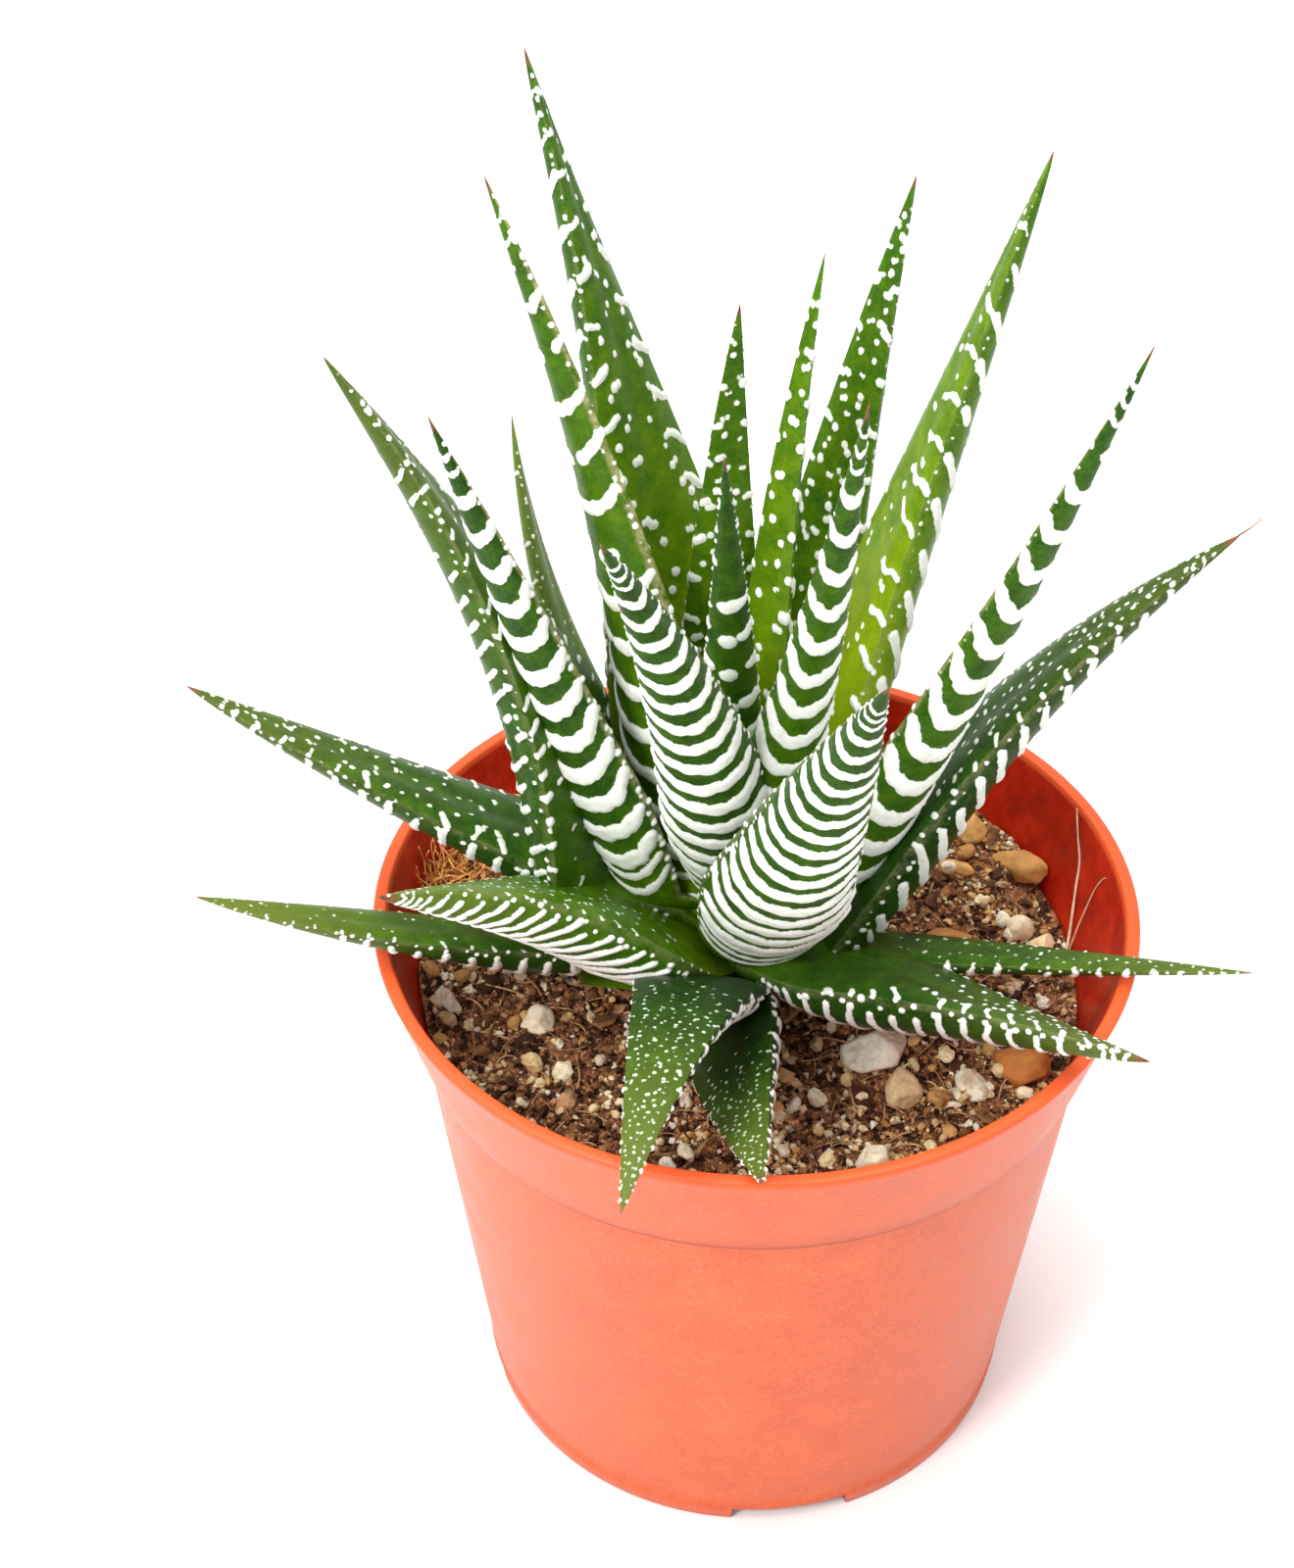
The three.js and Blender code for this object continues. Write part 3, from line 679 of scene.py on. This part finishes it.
def band_marks(leaf, look, rng):
    """The white bands of the outer side, as rows of overlapping blobs: t, place across, radius, height."""
    marks = []
    bands, low, high = band_places(leaf)
    rows = [(t, 1.0) for t in bands]
    rows += [(t, BAND["low_size"]) for t in low] + [(t, BAND["high_size"]) for t in high]
    for middle, share in rows:
        wide = float(half_width(leaf, middle))
        left, right = -rng.uniform(0.9, 0.99), rng.uniform(0.9, 0.99)
        holes = rng.poisson(look.broken * (0.6 + 2.5 * middle))
        gaps = [(rng.uniform(-0.9, 0.9), rng.uniform(0.7, 1.1) / wide) for _ in range(holes)]
        wave = rng.uniform(0, 2 * np.pi, 3)
        radius = max(BAND["least_radius"], leaf.pitch * look.band / 2 * (1.03 - 0.55 * middle**2) * share)
        height = BAND["height"] * (1 - 0.5 * middle) * share
        for x in np.sin(np.arange(np.arcsin(left), np.arcsin(right), 0.26 / wide)):
            if any(abs(x - place) < gap for place, gap in gaps):
                continue
            ripple = BAND["ripple"][0] * np.sin(5 * x + wave[0])
            ripple += BAND["ripple"][1] * np.sin(13 * x + wave[1])
            beads = 1 + BAND["beading"] * np.sin(17 * x + wave[2])
            beads += rng.uniform(-BAND["unevenness"], BAND["unevenness"])
            t = middle + (band_bow(look, wide, x) + ripple * share) / leaf.length
            marks.append((min(t, 0.985), x, radius * beads * (1 - 0.35 * x * x), height))
    return marks


def edge_marks(leaf, look, rng):
    """Beads along both edges."""
    marks = []
    for side in (-1, 1):
        t = 0.05
        while t < 0.975:
            size = rng.uniform(*BEAD["radius"]) * (0.35 + 0.65 * look.beads) * (1 - 0.5 * t)
            marks.append((t, side * rng.uniform(0.96, 1), size, 0.8 * size))
            t += rng.uniform(*BEAD["spacing"]) / leaf.length
    return marks


def dot_marks(leaf, look, rng):
    """Rows of dots on the inner side, closer towards the tip."""
    marks = []
    t = DOT["first"]
    while t < DOT["last"]:
        share = float(half_width(leaf, t)) / (leaf.width / 2)
        count = int(look.dots * share**0.6 * smoothstep(look.bare, look.bare + 0.3, t) + rng.random())
        for index in range(count):
            x = DOT["spread"] * (2 * (index + rng.uniform(0.15, 0.85)) / count - 1)
            size = look.dot * rng.uniform(*DOT["sizes"]) * (1 - 0.45 * t)
            place = t + rng.normal(0, DOT["scatter"]) * look.rows / leaf.length
            marks.append((place, x, size, 0.45 * size))
            if rng.random() < DOT["paired"]:  # a smaller one beside it
                aside = rng.choice([-1, 1]) * 1.3 * size / (share * leaf.width / 2)
                place += rng.normal(0, 0.5) * size / leaf.length
                marks.append((place, x + aside, 0.9 * size, 0.4 * size))
        t += look.rows * rng.uniform(0.85, 1.15) * (1 - 0.4 * t) / leaf.length
    return marks


def bar_marks(leaf, look, rng):
    """Bars that reach onto the inner side from its edges, where the bands of the outer side end."""
    marks = []
    bands, _, high = band_places(leaf)
    reaches, leans = (np.broadcast_to(value, 2) for value in (look.reach, look.lean))
    for middle in (*bands[2:], *high):
        wide = float(half_width(leaf, middle))
        for side, reach, lean in zip((-1, 1), reaches, leans):
            if rng.random() < BAR["missing"]:
                continue
            size = BAR["size"] * look.dot * (1 - 0.35 * middle) * rng.uniform(*BAR["sizes"])
            slope = rng.normal(lean, BAR["slope"])
            wave = rng.uniform(0, 2 * np.pi)
            inmost = 1 - reach * rng.uniform(*BAR["reach"]) * smoothstep(0.15, 0.5, middle)
            for x in np.arange(1, inmost, -0.22 / wide):
                inwards = wide * (1 - x)
                rise = band_bow(look, wide, 1) + slope * inwards
                rise += BAR["wave"] * np.sin(1.7 * inwards + wave)
                bead = size * (1 + 0.15 * np.sin(2.6 * inwards + wave))
                marks.append((min(middle + rise / leaf.length, 0.98), side * x, bead, 0.5 * bead))
    return marks


def tubercles(leaf, look, t_rows, points, inner, across, rng):
    """How deep each skin point lies in the white tubercles, negative outside, and how high they stand."""
    outer_marks = band_marks(leaf, look, rng)
    inner_marks = dot_marks(leaf, look, rng) + bar_marks(leaf, look, rng)
    both = edge_marks(leaf, look, rng)
    rows = outer_marks + inner_marks + both
    t, x, size, height = np.array(rows).T
    is_inner = np.array([False] * len(outer_marks) + [True] * len(inner_marks) + [False] * len(both))
    is_edge = np.arange(len(rows)) >= len(outer_marks) + len(inner_marks)
    t = np.clip(t, 0, 0.99)
    centres = skin_points(leaf, t, np.clip(x, -1, 1), is_inner)
    along, _, _ = leaf_directions(leaf, t)
    long = np.where(is_inner, 1.15, 1.0)
    depth = np.full(points.shape[:2], -1.0)
    raised = np.zeros(points.shape[:2])
    near_edge = np.abs(across) > 0.8
    for k in range(len(rows)):
        reach = (size[k] * long[k] + 0.3) / leaf.length
        low, high = np.searchsorted(t_rows, [t[k] - reach * 1.3, t[k] + reach * 1.3])
        if high <= low:
            continue
        columns = (inner == is_inner[k]) | near_edge if not is_edge[k] else slice(None)
        away = points[low:high, columns] - centres[k]
        lengthwise = away @ along[k]
        square = (away**2).sum(-1) - lengthwise**2 + (lengthwise / long[k]) ** 2
        inside = size[k] - np.sqrt(np.maximum(square, 0))
        dome = height[k] * (1 - (1 - np.clip(inside / min(size[k], 0.55), 0, 1)) ** 2)
        depth[low:high, columns] = np.maximum(depth[low:high, columns], inside)
        raised[low:high, columns] = np.maximum(raised[low:high, columns], dome)
    return depth, raised


def grid_normals(points, middle):
    """Outward directions of a closed grid of points round its middle line."""
    down = np.gradient(points, axis=0)
    round_it = np.roll(points, -1, 1) - np.roll(points, 1, 1)
    normals = np.cross(down, round_it)
    normals /= np.linalg.norm(normals, axis=-1, keepdims=True) + 1e-9
    outwards = ((points - middle[:, None]) * normals).sum()
    return normals * np.sign(outwards)


def make_leaf(number, leaf, look, material):
    rng = np.random.default_rng(100 + number)
    step = float(np.clip(0.75 * look.dot, *LEAF_STEP))
    across, inner = section_places(leaf, step)
    t = np.linspace(0, LAST_RING, int(leaf.length / step))
    grid = [values.ravel() for values in np.meshgrid(t, across, indexing="ij")]
    points = skin_points(leaf, *grid, np.tile(inner, len(t))).reshape(len(t), len(across), 3)
    depth, raised = tubercles(leaf, look, t, points, inner, across, rng)
    points = points + grid_normals(points, leaf_spine(leaf, t)) * raised[..., None]

    # The root runs from the stem to the blade's first ring.
    root = np.array([*ROSETTE, max(leaf.base[2] - ROOT["drop"], ROOT["lowest"])])
    foot = (points[0] - leaf.base) * ROOT["size"] + root
    root_rows = [foot + (points[0] - foot) * s for s in np.linspace(0, 1, ROOT["rows"], endpoint=False)]
    depth = np.pad(depth, ((ROOT["rows"], 0), (0, 0)), constant_values=-1)
    t = np.pad(t, (ROOT["rows"], 0))[:, None]
    rings = np.concatenate([root_rows, points])
    points, faces = closed_skin(rings, foot.mean(0), leaf_spine(leaf, np.array([1.0]))[0])

    # Paler towards the base; where the look's value for the lower half is below zero, that half is darker:
    # painted shade.
    base_tone_and_shade = 0.25 * (1 - smoothstep(0, 0.3, t)) + look.glow * (1 - smoothstep(0.2, 0.7, t))
    dry_length = rng.uniform(*DRY_TIP) / leaf.length
    edge = min(1, 2 * look.tan) * smoothstep(0.985 - 0.1 * look.tan, 1, np.abs(across))
    # Each value on the rings, in the middle of the root's end, and at the tip.
    values = dict(
        tubercle=(depth, -1, -1),
        # The tone below is raised by 0.12 on the inner side: painted light on the side that faces up.
        young=(look.young + base_tone_and_shade + 0.12 * inner - 0.1 * smoothstep(0.6, 1, t), 0, look.young),
        dry=(smoothstep(1 - dry_length, 1 - 0.3 * dry_length, t), 0, 1),
        edge=(edge, 0, 0),
        olive=(look.olive * smoothstep(0.4, 1, t), 0, look.olive),
        veil=(look.veil * inner, 0, 0),
    )
    for key, (on_rings, *ends) in values.items():
        values[key] = np.append(np.broadcast_to(on_rings, rings.shape[:2]), ends)
    name = f"leaf_{number:02d}"
    uv = leaf_uv(*rings.shape[:2])
    piece = add_mesh(name + "_skin", points, faces, material, leaf_slot(number), values, uv)
    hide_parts(name)


def leaf_slot(number):
    subparts = frame["record"]["subparts"]
    return next(s["material_slot"] for s in subparts if s["node"] == f"leaf_{number:02d}")


def leaf_uv(rows, columns):
    """Flat map of the skin, a place per face corner: round the leaf to the right, along it upwards."""
    def places(corners):
        pairs = [np.stack(np.broadcast_arrays(u / columns, v), -1) for u, v in corners]
        return np.stack(pairs, -2).reshape(-1, 2)

    i, j = np.meshgrid(np.arange(rows - 1), np.arange(columns), indexing="ij")
    low, high = 0.02 + 0.96 * i / (rows - 1), 0.02 + 0.96 * (i + 1) / (rows - 1)
    sides = places([(j, low), (j + 1, low), (j + 1, high), (j, high)])
    j = np.arange(columns)
    root = places([(j + 0.5, 0), (j + 1, 0.02), (j, 0.02)])
    tip = places([(j + 0.5, 1), (j, 0.98), (j + 1, 0.98)])
    return np.concatenate([sides, root, tip])


# ---------------------------------------------------------------- pot


def wall_radius(height, inset, lip_start, lip_end):
    """Radius of one side of the wall. inset is how far that side lies inside the outside below the lip."""
    top = POT["lip_radius"] - POT["lip_step"]
    body = POT["foot_radius"] + (top - POT["foot_radius"]) * height / POT["lip_height"] - inset
    share = (height - POT["lip_height"]) / (POT["height"] - POT["lip_height"])
    return np.where(height <= POT["lip_height"], body, lip_start + (lip_end - lip_start) * share)


def outer_radius(height):
    return wall_radius(height, 0, POT["lip_radius"], POT["rim_radius"])


def inner_radius(height):
    start = POT["lip_radius"] - POT["lip_step"] - POT["wall"]
    return wall_radius(height, POT["wall"], start, POT["rim_radius"] - POT["rim_width"])


def held_inside(points, gap):
    """The points, with those beyond the pot's inner wall moved back to it."""
    limit = inner_radius(points[:, 2]) - gap
    far = np.hypot(points[:, 0], points[:, 1])
    return points * np.stack([np.minimum(1, limit / far)] * 2 + [np.ones(len(far))], -1)


def pot_profile():
    """The pot's section from its middle below, round the foot, up the outside, over the rim and down inside,
    as rows of radius, height, inside share, rim share."""
    lip, top, foot, band = POT["lip_height"], POT["height"], POT["foot_radius"], POT["foot_band"]
    under = POT["floor_underside"]
    floor = under + POT["floor_thickness"]
    foot_in = float(inner_radius(0))
    outside = [
        (0.4, under), (foot_in - 3, under), (foot_in - 0.3, under), (foot_in, under - 0.3), (foot_in, 0.25),
        (foot_in + 0.25, 0), (foot - 0.3, 0), (foot, 0.3),
        (outer_radius(band - 0.35), band - 0.35), (outer_radius(band) - 0.22, band),
    ]
    outside += [(outer_radius(height) - 0.15, height) for height in np.arange(5, lip - 1, 5)]
    outside += [
        (outer_radius(lip) - 0.2, lip - 0.8), (outer_radius(lip) - 0.15, lip - 0.1),
        (POT["lip_radius"] - 0.12, lip + 0.12), (POT["lip_radius"] + 0.05, lip + 0.5),
    ]
    outside += [(outer_radius(height), height) for height in (*np.arange(lip + 3, top - 2, 3), top - 1.5)]
    outer_edge, inner_edge = POT["rim_rounding"]
    rim = []
    for middle, rounding, angles in (
        (POT["rim_radius"] - outer_edge, outer_edge, (10, 35, 60, 85)),
        (POT["rim_radius"] - POT["rim_width"] + inner_edge, inner_edge, (95, 120, 145, 170)),
    ):
        for angle in np.radians(angles):
            rim.append((middle + rounding * math.cos(angle), top - rounding + rounding * math.sin(angle)))
    inside = [(inner_radius(height), height) for height in (*POT["inner_rings"], floor + 0.6)]
    inside += [(foot_in - 0.3, floor), (0.4, floor)]
    rows = [(*place, 0, 0) for place in outside] + [(*place, 0, 1) for place in rim]
    return np.array(rows + [(*place, 1, 0) for place in inside], float)


def make_pot():
    profile = pot_profile()
    radius, height, inside, rim = profile.T[..., None]
    centres = evenly_round(NOTCH["count"], NOTCH["turn"] - 90)
    half = math.asin(NOTCH["width"] / 2 / (POT["foot_radius"] - POT["wall"] / 2))
    sides = np.concatenate([centres - half, centres + half])
    near = np.concatenate([sides - 0.002, sides + 0.002]) % (2 * np.pi)
    angles = np.sort(np.concatenate([evenly_round(POT["segments"]), near]))
    away = np.abs((angles[:, None] - centres + np.pi) % (2 * np.pi) - np.pi).min(1)
    wobble = WOBBLE[0] * np.sin(2 * angles + 0.6) + WOBBLE[1] * np.sin(5 * angles)
    widened = radius + wobble * smoothstep(20, 60, height) * (radius > 20)
    is_foot = (radius > inner_radius(0) - 1) & (height < NOTCH["height"])
    lifted = np.where(is_foot & (away < half), NOTCH["height"], height)
    rings = turned(widened, lifted, angles)
    points, faces = closed_skin(rings, (0, 0, profile[0, 1]), (0, 0, profile[-1, 1]))
    # Where the thin line just under the lip's step is darkened: painted shade.
    painted_lip_shade = (1 - inside) * np.exp(-(((height - POT["lip_height"]) / POT["painted_lip_shade"]) ** 2))
    values = dict(inside=inside, rim=rim, painted_lip_shade=painted_lip_shade)
    for key, value in values.items():
        values[key] = np.append(np.repeat(value, len(angles)), value[[0, -1]])
    piece = add_mesh("nursery_pot", points, faces, pot_plastic(), "pot", values)
    cut_drains(piece)
    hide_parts("pot")


def cut_drains(pot):
    """Cuts the drain holes through the pot's floor."""
    cutter = bmesh.new()
    radius = DRAIN["radius"] * MM
    middle = POT["floor_underside"] + POT["floor_thickness"] / 2
    for place in turned(DRAIN["circle"], middle, evenly_round(DRAIN["count"], DRAIN["turn"])) + POT_AXIS:
        bmesh.ops.create_cone(
            cutter, cap_ends=True, segments=DRAIN["segments"], radius1=radius, radius2=radius,
            depth=4 * POT["floor_thickness"] * MM, matrix=Matrix.Translation(Vector(place * MM)),
        )
    mesh = bpy.data.meshes.new("drain_cutter")
    cutter.to_mesh(mesh)
    cutter.free()
    holes = linked("drain_cutter", mesh)
    modifier = pot.modifiers.new("drains", "BOOLEAN")
    modifier.operation = "DIFFERENCE"
    modifier.solver = "EXACT"
    modifier.object = holes
    graph = bpy.context.evaluated_depsgraph_get()
    cut = bpy.data.meshes.new_from_object(pot.evaluated_get(graph))
    pot.modifiers.remove(modifier)
    pot.data = cut
    bpy.data.objects.remove(holes)


# ---------------------------------------------------------------- stem and mix


def make_stem():
    foot, shoulder, top, radius = (STEM[key] for key in ("foot", "shoulder", "top", "radius"))
    profile = [(0.3, foot), (radius, foot), (radius, shoulder)]
    for share in np.linspace(0.1, 1, 10):
        fall = (radius - STEM["tip_radius"]) * share
        profile.append((radius - fall, shoulder + (top - STEM["crown"] - shoulder) * share))
    profile += [(0.6 * STEM["tip_radius"], top - 0.3), (0.3, top)]
    rings = turned(*np.array(profile).T[..., None], evenly_round(STEM["segments"])) + (*ROSETTE, 0)
    points, faces = closed_skin(rings, (*ROSETTE, foot), (*ROSETTE, top))
    flesh = mottled("stem_flesh", (0.1, 0.17, 0.03), (0.24, 0.3, 0.07), (2, 5), (0.3, 0.7), (0.6, 0.1))
    piece = add_mesh("short_stem", points, faces, flesh, "stem")
    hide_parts("stem")


def soil_height(x, y):
    def bell(centre, spread):
        return np.exp(-((x - centre[0]) ** 2 + (y - centre[1]) ** 2) / spread**2)

    return (
        SOIL["level"] + SOIL["slope_x"] * x + SOIL["slope_y"] * y
        + SOIL["heap_height"] * bell(SOIL["heap"], SOIL["heap_spread"])
        - SOIL["dish"] * bell(ROSETTE, SOIL["dish_spread"])
        + SOIL["ripple"] * np.sin(0.45 * x + 1) * np.cos(0.4 * y)
    )


def edge_radius(x, y):
    """How far the mix reaches from the axis in the direction of each point."""
    far = np.hypot(x, y) + 1e-9
    height = np.full(np.shape(x), SOIL["level"])
    for _ in range(4):
        reach = inner_radius(height) - SOIL["top_gap"]
        height = soil_height(x / far * reach, y / far * reach)
    return inner_radius(height) - SOIL["top_gap"]


def make_soil():
    """The mix as one body with a crumbly top."""
    angle = evenly_round(SOIL["segments"])
    bottom = POT["floor_underside"] + POT["floor_thickness"] + SOIL["gap"]
    heights = np.array([[bottom], [20], [40], [56]])
    side = turned(inner_radius(heights) - SOIL["gap"], heights, angle)
    share = np.linspace(0.004, 1, SOIL["rings"])[::-1, None]
    top = turned(share * edge_radius(np.cos(angle), np.sin(angle)), 0, angle)
    top[..., 2] = soil_height(top[..., 0], top[..., 1])
    places = top.reshape(-1, 3)
    crumbs = 0.5 * (fractal(places, 0.28, 5) + fractal(places, 0.9, 4, 7))
    top[..., 2] += crumbs.reshape(len(share), -1) * (1 - 0.7 * share**8)
    rings = np.concatenate([side, top])
    points, faces = closed_skin(rings, (0, 0, bottom), (0, 0, float(soil_height(0, 0))))
    peat = grit("peat", (0.02, 0.007, 0.004), (0.36, 0.15, 0.06), 1.2, 0.9, 0.3)
    piece = add_mesh("potting_mix", points, faces, peat, "soil")
    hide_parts("soil")


def scatter(rng, count, margin, clumps=0):
    """Random places on top of the mix, most of them round some of the others where clumps are asked for."""
    angle = rng.uniform(0, 2 * np.pi, count)
    reach = edge_radius(np.cos(angle), np.sin(angle)) - margin
    far = reach * np.sqrt(rng.uniform(0.01, 1, count))
    x, y = far * np.cos(angle), far * np.sin(angle)
    if clumps:
        gathered = rng.random(count) < CLUMP["share"]
        heart = np.where(gathered, rng.integers(0, clumps, count), np.arange(count))
        x, y = (place[heart] + rng.normal(0, CLUMP["spread"], count) for place in (x, y))
        shrink = np.minimum(1, (edge_radius(x, y) - margin) / np.hypot(x, y))
        x, y = x * shrink, y * shrink
    return np.stack([x, y, soil_height(x, y)], -1)


def chips(rng, kind):
    """Small angular grains lying on the mix: their points and faces, and the tint of each point."""
    shape, triangles = ball(kind.facets)
    count = kind.count
    half = kind.sizes[0] + (kind.sizes[1] - kind.sizes[0]) * rng.power(0.6, count)
    places = scatter(rng, count, half, kind.clumps)
    widths = [rng.uniform(*limits, count) for limits in ((0.8, 1.3), (0.6, 1), kind.flatness)]
    scale = half[:, None] * np.stack(widths, -1)
    turns = rng.uniform(0, 2 * np.pi, count)
    tilts = rng.normal(0, 0.45, (count, 2))
    jitter = 1 + rng.uniform(-kind.uneven, kind.uneven, (count, len(shape), 1))
    points = shape[None] * jitter * scale[:, None]
    for axis, angles in enumerate((*tilts.T, turns)):
        a, b = (axis + 1) % 3, (axis + 2) % 3
        cos, sin = np.cos(angles)[:, None], np.sin(angles)[:, None]
        first, second = points[..., a].copy(), points[..., b].copy()
        points[..., a], points[..., b] = first * cos - second * sin, first * sin + second * cos
    places[:, 2] += kind.lift * rng.uniform(0.2, 1.6, count) * scale[:, 2]
    points = (points + places[:, None]).reshape(-1, 3)
    if kind.warp:
        points += kind.warp * np.stack([fractal(points, 0.9, 2, shift) for shift in (1, 2, 3)], -1)
    faces = (triangles[None] + (np.arange(count) * len(shape))[:, None, None]).reshape(-1, 3)
    return points, [faces], np.repeat(rng.uniform(0, 1, count), len(shape))


def make_grains():
    """Crumbs of peat and bark, and the lighter grit on top of the mix."""
    rng = np.random.default_rng(7)
    materials = {name: tinted_grit(name) for name in ("crumbs", "pale_grit")}
    for name, kind in GRAINS.items():
        points, faces, tint = chips(rng, kind)
        add_mesh(name, points, faces, materials[kind.material], "soil", {"tint": tint}, smooth=False)


def make_stones():
    """The largest stones, angular with worn edges."""
    rng = np.random.default_rng(21)
    shape, triangles = ball(4)
    parts, tints = [], []
    for x, y, size, turn, tint in STONES:
        stone = shape.copy()
        for normal in rng.normal(0, 1, (STONE_CUTS["count"], 3)):
            normal /= np.linalg.norm(normal)
            reach = stone @ normal
            limit = rng.uniform(*STONE_CUTS["depth"])
            stone *= np.where(reach > limit, limit / np.maximum(reach, 1e-6), 1)[:, None]
        stone *= (1 + 0.035 * fractal(stone, 3, 4, x))[:, None]
        cos, sin = math.cos(math.radians(turn)), math.sin(math.radians(turn))
        stone = stone * size @ np.array([[cos, sin, 0], [-sin, cos, 0], [0, 0, 1]])
        stone += (x, y, float(soil_height(x, y)) + 0.325 * size[2])
        parts.append((held_inside(stone, SOIL["top_gap"]), [triangles]))
        tints.append(np.full(len(stone), tint))
    add_mesh("stones", *joined(parts), tinted_grit("stone"), "soil", {"tint": np.concatenate(tints)})


def fibre_path(rng, start, direction, length, steps=10, curl=0.5):
    """A wandering line."""
    path = [np.array(start, float)]
    direction = np.array(direction, float)
    bend = rng.normal(0, curl, 3)
    for _ in range(steps):
        direction = direction + (bend + rng.normal(0, curl, 3)) / steps
        direction /= np.linalg.norm(direction)
        path.append(path[-1] + direction * length / steps)
    return np.array(path)


def make_fibres():
    """Thin roots and fibres that lie on the mix, and a tuft of coir at its left edge."""
    rng = np.random.default_rng(33)
    loose = []
    for place in scatter(rng, FIBRE["count"], FIBRE["margin"]):
        angle = rng.uniform(0, 2 * np.pi)
        direction = (np.cos(angle), np.sin(angle), 0)
        path = fibre_path(rng, place + (0, 0, 0.5), direction, rng.uniform(*FIBRE["length"]), curl=0.9)
        rise = 0.45 + 0.4 * np.sin(np.linspace(0, np.pi, len(path)))
        path[:, 2] = soil_height(path[:, 0], path[:, 1]) + rise
        loose.append(tube(path, rng.uniform(*FIBRE["uneven"]) * np.array(FIBRE["radii"]), 5))
    add_mesh("fibres", *joined(loose), mottled("root_fibre", (0.2, 0.08, 0.03), (0.66, 0.4, 0.18)), "soil")
    tuft = []
    for _ in range(TUFT["fibres"]):
        start = np.array(TUFT["centre"]) + rng.normal(0, 0.5, 3) * TUFT["spread"]
        direction = rng.normal(0, 1, 3) * (1, 1, 0.6) + (0.2, 0, 0.3)
        direction /= np.linalg.norm(direction)
        path = fibre_path(rng, start, direction, rng.uniform(0.4, 1) * TUFT["length"], curl=2.2)
        path[:, 2] = np.maximum(path[:, 2], soil_height(path[:, 0], path[:, 1]) + 0.2)
        radii = rng.uniform(*TUFT["uneven"]) * np.array(TUFT["radii"])
        tuft.append(tube(held_inside(path, 0.4), radii, 5))
    add_mesh("coir_tuft", *joined(tuft), mottled("coir", (0.4, 0.13, 0.02), (0.95, 0.5, 0.14)), "soil")


def make_straws():
    parts = [tube(smooth_path(route), (radius, 0.45 * radius), 8) for radius, route in STRAWS]
    straw = mottled("dry_straw", (0.55, 0.36, 0.2), (0.8, 0.64, 0.45))
    add_mesh("dry_straws", *joined(parts), straw, "soil")


def make_awn():
    """The dry hair at one leaf's tip, bent upwards a little."""
    leaf = LEAVES[AWN["leaf"] - 1]
    below, tip = leaf_spine(leaf, np.array([0.985, 1.0]))
    direction = (tip - below) / np.linalg.norm(tip - below)
    places = np.linspace(-AWN["inside"], AWN["length"], 12)
    path = [tip + direction * s + (0, 0, 0.09 * s * s) for s in places]
    hair = mottled("dry_awn", (0.2, 0.08, 0.03), (0.45, 0.22, 0.1))
    add_mesh("leaf_awn", *tube(path, AWN["radii"]), hair, leaf_slot(AWN["leaf"]))


# ---------------------------------------------------------------- surroundings


def make_floor():
    mesh = bpy.data.meshes.new("floor")
    corners = [(-2, -2, 0), (2, -2, 0), (2, 2, 0), (-2, 2, 0)]
    mesh.from_pydata(corners, [], [(0, 1, 2, 3)])
    floor = linked("floor", mesh)
    paper = Surface("pale_floor", Roughness=0.9, Specular_IOR_Level=0.1)
    paper.colour(paper.ramp(paper.cloud(60, 2), (0.3, 0.93), (0.7, 0.95)))
    mesh.materials.append(paper.material)


def make_lights():
    scene = bpy.context.scene
    scene.world = bpy.data.worlds.new("studio")
    scene.world.use_nodes = True
    background = scene.world.node_tree.nodes["Background"]
    background.inputs["Color"].default_value = (1.0, 1.0, 1.0, 1)
    background.inputs["Strength"].default_value = BRIGHTNESS
    for name, (place, size, power, target) in LIGHTS.items():
        data = bpy.data.lights.new(name, "AREA")
        data.shape = "DISK"
        data.size = size
        data.energy = power
        light = linked(name, data)
        light.location = place
        light.rotation_euler = (Vector(target) - Vector(place)).to_track_quat("-Z", "Y").to_euler()
    scene.view_settings.view_transform = "Standard"


def make_camera():
    elevation, roll = math.radians(CAMERA["elevation"]), math.radians(CAMERA["roll"])
    right = np.array([1.0, 0, 0])
    up = np.array([0, math.sin(elevation), math.cos(elevation)])
    back = np.array([0, -math.cos(elevation), math.sin(elevation)])
    rolled_right = right * math.cos(roll) - up * math.sin(roll)
    rolled_up = right * math.sin(roll) + up * math.cos(roll)
    target = POT_AXIS + (0, 0, CAMERA["target_height"])
    place = target - CAMERA["right"] * rolled_right + CAMERA["down"] * rolled_up + CAMERA["distance"] * back
    data = bpy.data.cameras.new("camera")
    data.lens = CAMERA["lens"]
    data.sensor_fit = "VERTICAL"
    data.sensor_height = CAMERA["sensor"]
    data.clip_start = 0.01
    camera = linked("camera", data)
    turn = Matrix(np.stack([rolled_right, rolled_up, back], 1).tolist()).to_4x4()
    camera.matrix_world = Matrix.Translation(Vector(place * MM)) @ turn
    bpy.context.scene.camera = camera


# ---------------------------------------------------------------- the whole


make_camera()
make_lights()
make_floor()
make_pot()
make_stem()
make_soil()
make_grains()
make_stones()
make_fibres()
make_straws()
leaf_material = leaf_skin("leaf_skin")
for number, leaf in enumerate(LEAVES, 1):
    make_leaf(number, leaf, Look(**{**PLAIN, **LOOKS.get(number, {})}), leaf_material)
make_awn()
